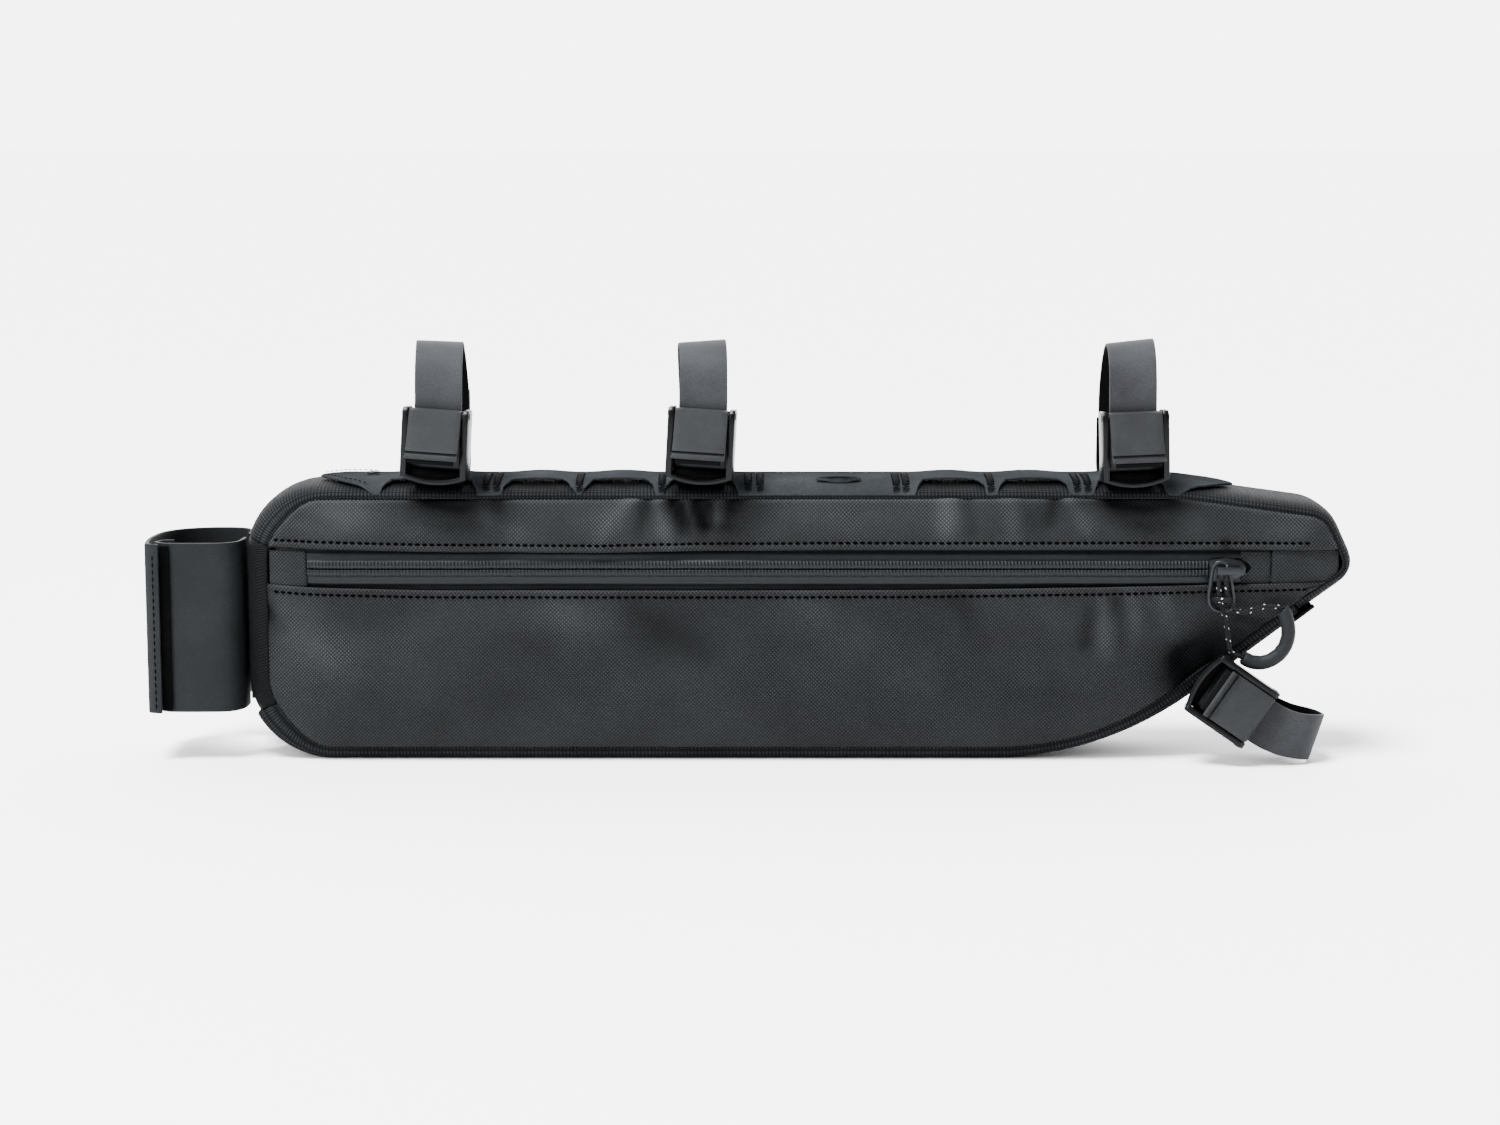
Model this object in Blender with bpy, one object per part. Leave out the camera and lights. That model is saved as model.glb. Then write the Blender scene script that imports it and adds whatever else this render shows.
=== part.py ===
"""Bicycle frame bag: a long, slim zipped bag that hangs in a frame's triangle.

The bag stands on its flat bottom as when it is put down. X runs from the end wrap to
the nose, Y from the zipped front to the back, Z up. The origin is on the floor, under
the middle of the bag's length and width. Lengths are in metres.
"""

import math

import bmesh
import bpy
from mathutils import Matrix, Vector

# Bag
BODY_LENGTH = 0.468
BODY_HEIGHT = 0.1165
BAG_WIDTH = 0.050  # between the front and the back seam
SEAM_SET = 0.0045  # how far the gusset's crown stands outside the seams
FRONT_BULGE = 0.0065
BACK_BULGE = 0.0050
EDGE_ROLL = 0.034  # how far in from a seam a panel goes on rising
PANEL_THICKNESS = 0.0012
GUSSET_THICKNESS = 0.0015
GAP = 0.0003
SEAM_GAP = 0.0012

# Zip
ZIP_DROP = 0.0343  # of the centre line, below the bag's top
ZIP_SHOWN = 0.0156
ZIP_OVERLAP = 0.004
TAPE_THICKNESS = 0.0009
COIL_WIDTH = 0.0066
COIL_RISE = 0.0008
ZIP_TAB_LENGTH = 0.0165
GARAGE_LENGTH = 0.0110
SLIDER_FROM_NOSE = 0.056
SLIDER_BODY = 0.0018
SLIDER_HEIGHT = 0.0052
BRIDGE_BAR = 0.0013
RING_WIRE = 0.0014
CORD_DIAMETER = 0.0020
GRIP_DIAMETER = 0.0062
GRIP_BORE = 0.0032

# Strap rail on top of the bag
RAIL_FROM_END = 0.0310
RAIL_FROM_NOSE = 0.0500
RAIL_POINT = 0.026
RAIL_WIDTH = 0.0460
BRIDGE_WIDTH = 0.0270  # what is left of the rail's width beside a window
RAIL_THICKNESS = 0.0014
RAIL_LIFT = 0.0017
WINDOW_SLOPE = 0.004
EYELET_RADIUS = 0.0028
EYELET_HOLE = 0.0014
BADGE_LENGTH = 0.019
BADGE_WIDTH = 0.0062

# Straps and cam buckles
STRAP_WIDTH = 0.0200
STRAP_THICKNESS = 0.0014
BASE_THICKNESS = 0.0011
LOOP_RISE = 0.0590  # top of the strap loops above the bag
LOOP_DEPTH = 0.0440
BUCKLE_PLACE = 0.0265  # strap plane in the buckles, in front of the bag's middle
FRAME_LENGTH = 0.0292
FRAME_WIDTH = 0.0280
RAIL_SIDE = 0.0026
FRAME_FRONT = 0.0062
FRAME_BOW = 0.0030
PLATE_THICKNESS = 0.0016
ROD_RADIUS = 0.0013
ROD_HEIGHT = 0.0010
TAIL_HEIGHT = 0.0052
PIN_RADIUS = 0.0011
PIN_PLAY = 0.0003
PIN_HEIGHT = 0.0266
CAM_RADIUS = 0.0024
LEVER_LENGTH = 0.0178
LEVER_REACH = 0.0080
LEVER_THICKNESS = 0.0019
LEVER_PLAY = 0.0004

# Strap under the nose
LOW_ALONG = 0.86026  # foot of the low buckle, as shares of the bag's length and height
LOW_UP = 0.30386
LOW_BUCKLE_PLACE = 0.0325
LOW_TURN = 34.0  # degrees that the low buckle points below the level
LOW_SWING = 7.0  # degrees that its far end stands out
LOW_LEVER = -12.0  # degrees that its lever is closed more than the others
LOW_DROOP = 18.5
LOW_LOOP_REACH = 0.0545
LOW_LOOP_DEPTH = 0.0320

# Wrap at the end of the bag
WRAP_BOTTOM = 0.0205
WRAP_FROM_TOP = 0.0240
WRAP_LENGTH = 0.0395
WRAP_THICKNESS = 0.0017
HOOK_THICKNESS = 0.0009
HOOK_LENGTH = 0.0085
BAND_BOTTOM = 0.0190
BAND_FROM_TOP = 0.0225
NOSE_TAB_LENGTH = 0.0130

HALF_WIDTH = BAG_WIDTH / 2
HALF_LENGTH = BODY_LENGTH / 2
ZIP_HEIGHT = BODY_HEIGHT - ZIP_DROP
SLIDER_PLACE = HALF_LENGTH - SLIDER_FROM_NOSE
RAIL_START = RAIL_FROM_END - HALF_LENGTH
RAIL_END = HALF_LENGTH - RAIL_FROM_NOSE
LOOP_TOP = BODY_HEIGHT + LOOP_RISE
LOW_BUCKLE = ((LOW_ALONG - 0.5) * BODY_LENGTH, LOW_UP * BODY_HEIGHT)
WRAP_TOP = BODY_HEIGHT - WRAP_FROM_TOP
BAND_TOP = BODY_HEIGHT - BAND_FROM_TOP

# Corners of the side outline: place as shares of length and height, then bend radius as a share of the height
OUTLINE_COLUMNS = ("along", "up", "radius")
OUTLINE = (
    (0.000, 0.000, 0.3090),
    (0.776, 0.000, 1.2017),
    (1.003, 0.690, 0.0944),
    (0.976, 0.925, 0.1373),
    (0.840, 1.000, 0.6009),
    (0.000, 1.000, 0.2661),
)

# Gusset sections: share of the half width, then share of the crown's rise
TOP_SECTION = (
    (1.0, 0.0), (0.97, 0.30), (0.90, 0.55), (0.76, 0.80), (0.56, 0.94), (0.36, 1.0), (0.0, 1.0),
)
BOTTOM_SECTION = ((1.0, 0.0), (0.98, 0.38), (0.92, 0.75), (0.83, 0.97), (0.76, 1.0), (0.0, 1.0))

# Windows in the rail's edges: start and end as shares of the rail's length
WINDOWS = (
    (0.0729, 0.1765), (0.2037, 0.2800), (0.2925, 0.3690), (0.3785, 0.4590),
    (0.6504, 0.7266), (0.7395, 0.8170), (0.8425, 0.9215),
)

# Top straps: place from the bag's middle as a share of its length, foot of the buckle above the bag, its turn
# and roll and the loop's lean in degrees, and the end of the tail behind, above the bag
STRAP_COLUMNS = ("place", "foot", "turn", "roll", "lean", "tail_end")
TOP_STRAPS = (
    (-0.32457, 0.0038, -7.0, 3.4, 0.0, 0.0365),
    (-0.08932, 0.0039, -6.0, 3.2, -6.0, 0.0165),
    (0.29701, 0.0027, 5.0, -1.8, -5.0, 0.0245),
)

# Strap loop seen from its side: share of the depth, then share of the height from buckle foot to top
LOOP_SHAPE = (
    (0.02, 0.74), (0.12, 0.90), (0.33, 0.99), (0.58, 0.98), (0.81, 0.86), (0.95, 0.66),
    (1.0, 0.44), (1.0, 0.22),
)
# The low strap's loop in the same way, with the reach from the buckle's foot for the height
LOW_LOOP_SHAPE = (
    (0.01, 0.74), (0.08, 0.90), (0.30, 0.99), (0.60, 0.98), (0.86, 0.86), (0.98, 0.66),
    (1.0, 0.46), (1.0, 0.33),
)

# Dents of the front: place as shares of length and height, depth, spread along and up
DENT_COLUMNS = ("along", "up", "depth", "spread_along", "spread_up")
DENTS = (
    (0.178, 0.930, 0.0030, 0.026, 0.016),
    (0.236, 0.880, 0.0012, 0.010, 0.020),
    (0.412, 0.920, 0.0032, 0.024, 0.018),
    (0.806, 0.930, 0.0028, 0.024, 0.016),
    (0.300, 0.540, 0.0012, 0.030, 0.016),
    (0.520, 0.470, 0.0010, 0.050, 0.014),
    (0.730, 0.500, 0.0012, 0.014, 0.024),
    (0.860, 0.400, 0.0020, 0.022, 0.024),
)

# Zip slider seen from the front, and its ring's wire round the left post: x from the slider's place,
# z from the zip
SLIDER_SHAPE = (
    (-0.0072, 0.0040), (-0.0010, 0.0048), (0.0060, 0.0036), (0.0076, 0.0016),
    (0.0076, -0.0020), (0.0012, -0.0047), (-0.0072, -0.0047),
)
RING_COLUMNS = ("x", "z", "share of the way back to the panel")
RING_SHAPE = (
    (-0.0005, 0.0024, 0.0), (-0.0026, 0.0034, 0.0), (-0.0051, 0.0028, 0.0), (-0.0065, 0.0002, 0.0),
    (-0.0071, -0.0052, 0.0), (-0.0075, -0.0085, 0.6), (-0.0076, -0.0120, 1.0), (-0.0068, -0.0150, 1.0),
    (-0.0043, -0.0169, 1.0), (-0.0009, -0.0171, 1.0), (0.0016, -0.0159, 1.0), (0.0025, -0.0133, 1.0),
    (0.0022, -0.0088, 0.6), (0.0015, -0.0052, 0.0), (0.0004, -0.0005, 0.0),
)

# Route of the pull cord from the ring down, through the grip and back up to the ring: x from the slider's
# place, z from the zip's centre line and distance in front of the seam
CORD_COLUMNS = ("x", "z", "in front")
CORD_ROUTE = (
    (-0.0040, -0.0032, 0.0103), (-0.0040, -0.0057, 0.0104), (-0.0039, -0.0087, 0.0105),
    (-0.0034, -0.0122, 0.0106), (-0.0024, -0.0157, 0.0107), (-0.0014, -0.0187, 0.0105),
    (-0.0003, -0.0232, 0.0094), (0.0008, -0.0292, 0.0086), (0.0020, -0.0342, 0.0084),
    (0.0068, -0.0367, 0.0083), (0.0110, -0.0386, 0.0081), (0.0160, -0.0388, 0.0080),
    (0.0210, -0.0364, 0.0080), (0.0244, -0.0322, 0.0080), (0.0258, -0.0267, 0.0080),
    (0.0250, -0.0210, 0.0080), (0.0228, -0.0164, 0.0080), (0.0190, -0.0151, 0.0081),
    (0.0150, -0.0153, 0.0083), (0.0112, -0.0163, 0.0087), (0.0080, -0.0173, 0.0093),
    (0.0052, -0.0172, 0.0100), (0.0031, -0.0160, 0.0106), (0.0015, -0.0139, 0.0107),
    (0.0000, -0.0114, 0.0107), (-0.0007, -0.0082, 0.0106), (-0.0009, -0.0057, 0.0104),
    (-0.0010, -0.0032, 0.0103),
)
GRIP_FIRST, GRIP_LAST = 9, 16  # the route's points between which the grip lies

ARC_STEP = math.radians(9)
LONGEST_STEP = 0.026
MM = 0.001


def material(name, colour, roughness, metallic=0.0):
    """A Principled material in linear colour."""
    made = bpy.data.materials.new(name)
    made.use_nodes = True
    shader = made.node_tree.nodes["Principled BSDF"]
    shader.inputs["Base Color"].default_value = (*colour, 1.0)
    shader.inputs["Roughness"].default_value = roughness
    shader.inputs["Metallic"].default_value = metallic
    return made


def new_object(name, mesh, look, parent=None):
    """Links a mesh or curve as a named object with one material."""
    made = bpy.data.objects.new(name, mesh)
    made.data.materials.clear()
    made.data.materials.append(look)
    bpy.context.scene.collection.objects.link(made)
    if parent:
        made.parent = parent
    return made


def grid_mesh(name, rows, flip=False):
    """A sheet of quads through rows of points."""
    wide = len(rows[0])
    mesh = bpy.data.meshes.new(name)
    faces = []
    for i in range(len(rows) - 1):
        for j in range(wide - 1):
            corner = i * wide + j
            face = [corner, corner + 1, corner + wide + 1, corner + wide]
            faces.append(face[::-1] if flip else face)
    mesh.from_pydata([tuple(p) for row in rows for p in row], [], faces)
    mesh.update()
    return mesh


def sheet(name, rows, thickness, look, flip=False, offset=-1.0):
    """A closed wall: a sheet through rows of points, thickened. With offset -1 it grows behind its face."""
    made = new_object(name, grid_mesh(name, rows, flip), look)
    made.data.shade_smooth()
    wall = made.modifiers.new("wall", "SOLIDIFY")
    wall.thickness = thickness
    wall.offset = offset
    wall.use_even_offset = True
    wall.use_quality_normals = True
    return made


def smooth_path(points, spacing):
    """Points about a spacing apart on a smooth curve through the given points."""
    found = [points[0]]
    for i in range(len(points) - 1):
        a, b = points[max(i - 1, 0)], points[i]
        c, d = points[i + 1], points[min(i + 2, len(points) - 1)]
        count = max(1, round((c - b).length / spacing))
        for k in range(1, count + 1):
            t = k / count
            found.append(
                0.5
                * (2 * b + (c - a) * t + (2 * a - 5 * b + 4 * c - d) * t**2 + (3 * b - a - 3 * c + d) * t**3)
            )
    return found


def table_value(table, at):
    """Reads a two-column table that runs down from 1 to 0."""
    for (high, first), (low, second) in zip(table, table[1:]):
        if at >= low:
            share = (min(at, high) - low) / (high - low)
            return second + (first - second) * share
    return table[-1][1]


class Outline:
    """The bag's side outline at the gusset's crown, from the lower left corner round by the nose."""

    def __init__(self, corners):
        self.points, self.normals = [], []
        count = len(corners)
        for i, row in enumerate(corners):
            here = self.corner(row)
            radius = row[2] * BODY_HEIGHT
            before = self.corner(corners[i - 1])
            after = self.corner(corners[(i + 1) % count])
            arriving = (here - before).normalized()
            leaving = (after - here).normalized()
            turn = arriving.angle(leaving)
            centre = here - arriving * radius * math.tan(turn / 2) + Vector((-arriving.y, arriving.x)) * radius
            start = math.atan2(-arriving.x, arriving.y)
            steps = max(1, math.ceil(turn / ARC_STEP * 3))
            for k in range(steps + 1):
                angle = start + turn * k / steps
                normal = Vector((math.cos(angle), math.sin(angle)))
                self.points.append(centre + normal * radius)
                self.normals.append(normal)
        self.points.append(self.points[0])
        self.normals.append(self.normals[0])
        self.runs = [0.0]
        for a, b in zip(self.points, self.points[1:]):
            self.runs.append(self.runs[-1] + (b - a).length)
        self.length = self.runs[-1]

    @staticmethod
    def corner(row):
        return Vector(((row[0] - 0.5) * BODY_LENGTH, row[1] * BODY_HEIGHT))

    def at(self, run):
        """The point and outward normal at a run along the outline."""
        run %= self.length
        for i in range(len(self.runs) - 1):
            if run <= self.runs[i + 1]:
                share = (run - self.runs[i]) / max(self.runs[i + 1] - self.runs[i], 1e-9)
                point = self.points[i].lerp(self.points[i + 1], share)
                return point, self.normals[i].lerp(self.normals[i + 1], share).normalized()
        return self.points[-1], self.normals[-1]

    def stations(self, first, last):
        """Runs from first to last, close together where the outline bends."""
        runs = [first]
        turned = self.at(first)[1]
        steps = round((last - first) / MM)
        for k in range(1, steps):
            run = first + (last - first) * k / steps
            if self.at(run)[1].angle(turned) > ARC_STEP or run - runs[-1] > LONGEST_STEP:
                runs.append(run)
                turned = self.at(run)[1]
        return runs + [last]

    def run_where(self, first, last, reached):
        """The first run between two runs at which a test of the point holds."""
        steps = round(abs(last - first) / (MM / 2))
        for k in range(steps + 1):
            run = first + (last - first) * k / steps
            if reached(self.at(run)[0]):
                return run
        return last

    def inset(self, distance):
        """The outline's points moved in by a distance."""
        return [p - n * distance for p, n in zip(self.points, self.normals)]


outline = Outline(OUTLINE)
seam_line = outline.inset(SEAM_SET)
panel_line = outline.inset(SEAM_SET + SEAM_GAP)
TOP_CREST = BODY_HEIGHT


def span(line, x):
    """The lowest and highest z of a closed line at x."""
    found = []
    for a, b in zip(line, line[1:]):
        if min(a.x, b.x) <= x <= max(a.x, b.x) and abs(a.x - b.x) > 1e-9:
            found.append(a.y + (b.y - a.y) * (x - a.x) / (b.x - a.x))
    return min(found), max(found)


def seam_distance(x, z):
    """How far a place on a panel is from the seam."""
    nearest = BODY_LENGTH
    place = Vector((x, z))
    for a, b in zip(seam_line, seam_line[1:]):
        along = b - a
        share = max(0.0, min(1.0, (place - a).dot(along) / max(along.length_squared, 1e-12)))
        nearest = min(nearest, (place - a - along * share).length)
    return nearest


def face_depth(x, z, bulge=FRONT_BULGE, dents=DENTS):
    """How far a panel's outer face stands from the bag's middle plane."""
    roll = min(1.0, seam_distance(x, z) / EDGE_ROLL)
    depth = HALF_WIDTH + bulge * (1 - (1 - roll) ** 2.4)
    for along, up, dent, spread_along, spread_up in dents:
        away_x = (x - (along - 0.5) * BODY_LENGTH) / spread_along
        away_z = (z - up * BODY_HEIGHT) / spread_up
        depth -= dent * math.exp(-(away_x**2) - away_z**2) * min(1.0, roll * 3)
    return depth


def gusset_point(run, y, lift=0.0, section=TOP_SECTION):
    """A point over the gusset's outer face, at a run along the outline and a place across the bag."""
    point, normal = outline.at(run)
    drop = SEAM_SET * (1 - table_value(section, abs(y) / HALF_WIDTH))
    place = point + normal * (lift - drop)
    return Vector((place.x, y, place.y))


# Landmarks along the outline
RUN_KNEE = outline.length * 0.30
RUN_NOSE = outline.run_where(RUN_KNEE, outline.length, lambda p: p.y > 0.66 * BODY_HEIGHT)
RUN_TAB = RUN_NOSE - NOSE_TAB_LENGTH * 1.9
RUN_TOP_LEFT = outline.run_where(outline.length, outline.length * 0.6, lambda p: p.y > BAND_TOP)
RUN_BAND_LOW = outline.run_where(outline.length * 1.03, outline.length * 0.9, lambda p: p.y > BAND_BOTTOM)


def run_at_top(x):
    """The run at which the outline's upper side passes x."""
    return outline.run_where(RUN_NOSE, RUN_TOP_LEFT, lambda p: p.x < x)


def build_gusset(looks):
    """Top, bottom and end of the band that joins the two faces."""
    parts = (
        ("top_gusset", RUN_TAB + GAP / 2, RUN_TOP_LEFT - 2 * GAP, TOP_SECTION, looks["woven"]),
        ("end_band", RUN_TOP_LEFT, RUN_BAND_LOW, TOP_SECTION, looks["ribbed"]),
        (
            "bottom_gusset", RUN_BAND_LOW + 2 * GAP - outline.length, RUN_TAB - GAP / 2, BOTTOM_SECTION,
            looks["woven"],
        ),
    )
    for name, first, last, section, look in parts:
        shares = [s for s, _ in section]
        across = [-s for s in shares] + shares[-2::-1]
        rows = [
            [gusset_point(run, share * HALF_WIDTH, 0.0, section) for share in across]
            for run in outline.stations(first, last)
        ]
        sheet(name, rows, GUSSET_THICKNESS, look)


def build_nose_tab(looks):
    """A short webbing tab over the join of the top and bottom gusset, below the nose."""
    first = RUN_TAB - NOSE_TAB_LENGTH / 2
    shares = (0.95, 0.92, 0.83, 0.76)
    across = [k * HALF_WIDTH for k in (*(-s for s in shares), 0.0, *shares[::-1])]
    lift = GAP * 2 + BASE_THICKNESS
    rows = [
        [gusset_point(first + NOSE_TAB_LENGTH * k / 3, y, lift, BOTTOM_SECTION) for y in across]
        for k in range(4)
    ]
    sheet("nose_tab", rows, BASE_THICKNESS, looks["webbing"])


def panel_stations(line, first, last):
    """Places along a panel, close together at its round ends."""
    length = last - first
    shares = (0, 0.004, 0.014, 0.032, 0.06, 0.10)
    ends = (0.90, 0.94, 0.97, 0.99, 1.0)
    middle = [shares[-1] + (ends[0] - shares[-1]) * k / 17 for k in range(1, 17)]
    return [first + length * s for s in (*shares, *middle, *ends)]


def build_panel(name, first, last, low, high, rows_up, look, side=-1, bulge=FRONT_BULGE, dents=DENTS):
    """A face of the bag between two edges, each a function of x. Side -1 is the front."""
    rows = []
    for x in panel_stations(panel_line, first, last):
        bottom, top = low(x), high(x)
        heights = [bottom + (top - bottom) * share for share in rows_up]
        rows.append([Vector((x, side * face_depth(x, z, bulge, dents), z)) for z in heights])
    sheet(name, rows, PANEL_THICKNESS, look, flip=side < 0)


def panel_low(x):
    return span(panel_line, x)[0]


def panel_high(x):
    return span(panel_line, x)[1]


def last_x(line, test):
    """The last x at which a test of the line's span holds."""
    right = max(p.x for p in line)
    x = right - MM / 10
    while not test(*span(line, x)):
        x -= MM / 2
    return x


ZIP_LOW = ZIP_HEIGHT - ZIP_SHOWN / 2
ZIP_HIGH = ZIP_HEIGHT + ZIP_SHOWN / 2
PANEL_LEFT = min(p.x for p in panel_line) + MM / 2
PANEL_RIGHT = max(p.x for p in panel_line) - MM / 2
TAPE_BEHIND = PANEL_THICKNESS + 3 * GAP


def build_faces(looks):
    """Front above and below the zip, and the plain back."""
    upper_last = last_x(panel_line, lambda low, high: high > ZIP_HIGH + 2 * MM)
    lower_last = last_x(panel_line, lambda low, high: low < ZIP_LOW - 2 * MM)
    upper_rows = (0, 0.3, 0.6, 0.85, 1)
    lower_rows = (0, 0.07, 0.2, 0.4, 0.6, 0.8, 1)
    back_rows = (0, 0.06, 0.18, 0.36, 0.64, 0.82, 0.94, 1)
    look = looks["coated"]
    build_panel("front_upper", PANEL_LEFT, upper_last, lambda x: ZIP_HIGH, panel_high, upper_rows, look)
    build_panel("front_lower", PANEL_LEFT, lower_last, panel_low, lambda x: ZIP_LOW, lower_rows, look)
    build_panel(
        "back_panel", PANEL_LEFT, PANEL_RIGHT, panel_low, panel_high, back_rows, look,
        side=1, bulge=BACK_BULGE, dents=(),
    )


def tape_face(x, z, extra=0.0):
    """A point on the zip tape's outer face."""
    return Vector((x, extra + TAPE_BEHIND - face_depth(x, z), z))


def build_zip(looks):
    """Two tapes with a covered coil, the end tabs and the garage that the slider parks in."""
    inner = SEAM_GAP + 2.2 * MM
    tape_line = outline.inset(SEAM_SET + inner)
    left = min(p.x for p in tape_line) + MM / 2
    right = last_x(tape_line, lambda low, high: high - low > ZIP_SHOWN)
    coil = COIL_WIDTH / 2
    half = ZIP_SHOWN / 2 + ZIP_OVERLAP
    for name, way in (("zip_tape_upper", 1), ("zip_tape_lower", -1)):
        rows = []
        for x in panel_stations(tape_line, left, right):
            low, high = span(tape_line, x)
            edge = min(half, high - ZIP_HEIGHT) if way > 0 else min(half, ZIP_HEIGHT - low)
            section = ((GAP / 2, COIL_RISE), (coil * 0.8, COIL_RISE), (coil, 0.0), (max(edge, coil * 1.2), 0.0))
            rows.append([tape_face(x, ZIP_HEIGHT + way * away, -rise) for away, rise in section])
        sheet(name, rows, TAPE_THICKNESS, looks["zip"], flip=way > 0)

    shown_left = PANEL_LEFT + MM
    tab_half = ZIP_SHOWN / 2 - GAP
    lift = COIL_RISE + 2 * GAP + PANEL_THICKNESS

    def tab(name, first, last, look, along=6, across=4):
        rows = []
        for k in range(along + 1):
            x = first + (last - first) * k / along
            low, high = span(panel_line, x)
            top = min(ZIP_HEIGHT + tab_half, high)
            bottom = max(ZIP_HEIGHT - tab_half, low)
            rows.append([tape_face(x, bottom + (top - bottom) * j / across, -lift) for j in range(across + 1)])
        sheet(name, rows, PANEL_THICKNESS, look, flip=True)

    tab("zip_tab_left", shown_left, shown_left + ZIP_TAB_LENGTH, looks["coated"])
    garage = SLIDER_PLACE + SLIDER_SHAPE[3][0] + GAP
    tab("zip_garage", garage, garage + GARAGE_LENGTH, looks["coated"])
    tab_end = last_x(panel_line, lambda low, high: high - low > ZIP_SHOWN * 0.6)
    tab("zip_tab_right", garage + GARAGE_LENGTH + GAP, tab_end, looks["coated"], 12)


def joined_box(mesh, size, place):
    """Adds a box to a bmesh."""
    made = bmesh.ops.create_cube(mesh, size=1.0)["verts"]
    bmesh.ops.scale(mesh, vec=size, verts=made)
    bmesh.ops.translate(mesh, vec=place, verts=made)


def profile_solid(name, profile, width, centre=0.0):
    """A prism along X from a profile of (y, z) points."""
    mesh = bmesh.new()
    face = mesh.faces.new([mesh.verts.new((centre - width / 2, y, z)) for y, z in profile])
    pushed = bmesh.ops.extrude_face_region(mesh, geom=[face])
    moved = [v for v in pushed["geom"] if isinstance(v, bmesh.types.BMVert)]
    bmesh.ops.translate(mesh, vec=(width, 0, 0), verts=moved)
    bmesh.ops.recalc_face_normals(mesh, faces=mesh.faces)
    made = bpy.data.meshes.new(name)
    mesh.to_mesh(made)
    mesh.free()
    return made


def rod_mesh(name, radius, length, y, z, sides=12):
    """A round bar along X."""
    mesh = bmesh.new()
    turn = Matrix.Rotation(math.pi / 2, 4, "Y")
    bmesh.ops.create_cone(
        mesh, cap_ends=True, segments=sides, radius1=radius, radius2=radius, depth=length, matrix=turn
    )
    bmesh.ops.translate(mesh, vec=(0, y, z), verts=mesh.verts)
    made = bpy.data.meshes.new(name)
    mesh.to_mesh(made)
    mesh.free()
    return made


def combined(name, meshes, cutters=()):
    """One mesh: the union of closed meshes, less the cutters."""
    scene = bpy.context.scene
    objects = [bpy.data.objects.new(f"{name}_{i}", m) for i, m in enumerate((*meshes, *cutters))]
    for made in objects:
        scene.collection.objects.link(made)
    base = objects[0]
    for i, other in enumerate(objects[1:], 1):
        step = base.modifiers.new(f"step_{i}", "BOOLEAN")
        step.operation = "UNION" if i < len(meshes) else "DIFFERENCE"
        step.solver = "EXACT"
        step.object = other
    bpy.context.view_layer.update()
    result = bpy.data.meshes.new_from_object(base.evaluated_get(bpy.context.evaluated_depsgraph_get()))
    result.name = name
    for made in objects:
        bpy.data.objects.remove(made)
    return result


INSIDE = FRAME_WIDTH - 2 * RAIL_SIDE
PLATE_FRONT = STRAP_THICKNESS / 2 + GAP
FRAME_BACK = PLATE_FRONT + PLATE_THICKNESS
PIN_Y = -(STRAP_THICKNESS / 2 + GAP + CAM_RADIUS)


def frame_mesh():
    """Cam buckle frame: two side rails, a back plate, an anchor rod and a bowed lip at the foot."""
    side = (
        (FRAME_BACK, 0.0), (FRAME_BACK, FRAME_LENGTH - MM), (FRAME_BACK - MM, FRAME_LENGTH),
        (PIN_Y - CAM_RADIUS, FRAME_LENGTH), (-FRAME_FRONT, FRAME_LENGTH * 0.86),
        (-FRAME_FRONT, FRAME_LENGTH * 0.1),
        (-FRAME_FRONT * 0.85, 0.0),
    )
    middle = (FRAME_WIDTH - RAIL_SIDE) / 2
    rails = [profile_solid("rail", side, RAIL_SIDE, way * middle) for way in (-1, 1)]
    plate_low = TAIL_HEIGHT + MM
    plate = bmesh.new()
    joined_box(
        plate, (FRAME_WIDTH - RAIL_SIDE, PLATE_THICKNESS, FRAME_LENGTH - MM - plate_low),
        (0, PLATE_FRONT + PLATE_THICKNESS / 2, (FRAME_LENGTH - MM + plate_low) / 2),
    )
    plate_made = bpy.data.meshes.new("plate")
    plate.to_mesh(plate_made)
    plate.free()
    rod = rod_mesh("rod", ROD_RADIUS, FRAME_WIDTH - RAIL_SIDE, 0.0, ROD_HEIGHT, 10)

    lip_height, lip_thick = 1.9 * MM, 1.9 * MM
    lip = bmesh.new()
    low, high = [], []
    steps = 8
    for k in range(steps + 1):
        share = 2 * k / steps - 1
        sag = -FRAME_BOW * (1 - share**2)
        x = share * (FRAME_WIDTH / 2 - MM / 5)
        low.append(lip.verts.new((x, -FRAME_FRONT * 0.85 - MM / 10, sag + MM / 2)))
        high.append(lip.verts.new((x, -FRAME_FRONT * 0.85 - MM / 10, sag + MM / 2 + lip_height)))
    faces = [lip.faces.new((low[k], low[k + 1], high[k + 1], high[k])) for k in range(steps)]
    pushed = bmesh.ops.extrude_face_region(lip, geom=faces)
    moved = [v for v in pushed["geom"] if isinstance(v, bmesh.types.BMVert)]
    bmesh.ops.translate(lip, vec=(0, lip_thick, 0), verts=moved)
    bmesh.ops.recalc_face_normals(lip, faces=lip.faces)
    lip_made = bpy.data.meshes.new("lip")
    lip.to_mesh(lip_made)
    lip.free()
    hole = rod_mesh("hole", PIN_RADIUS + PIN_PLAY, FRAME_WIDTH * 1.2, PIN_Y, PIN_HEIGHT)
    return combined("buckle_frame", [*rails, plate_made, rod, lip_made], [hole])


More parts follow.
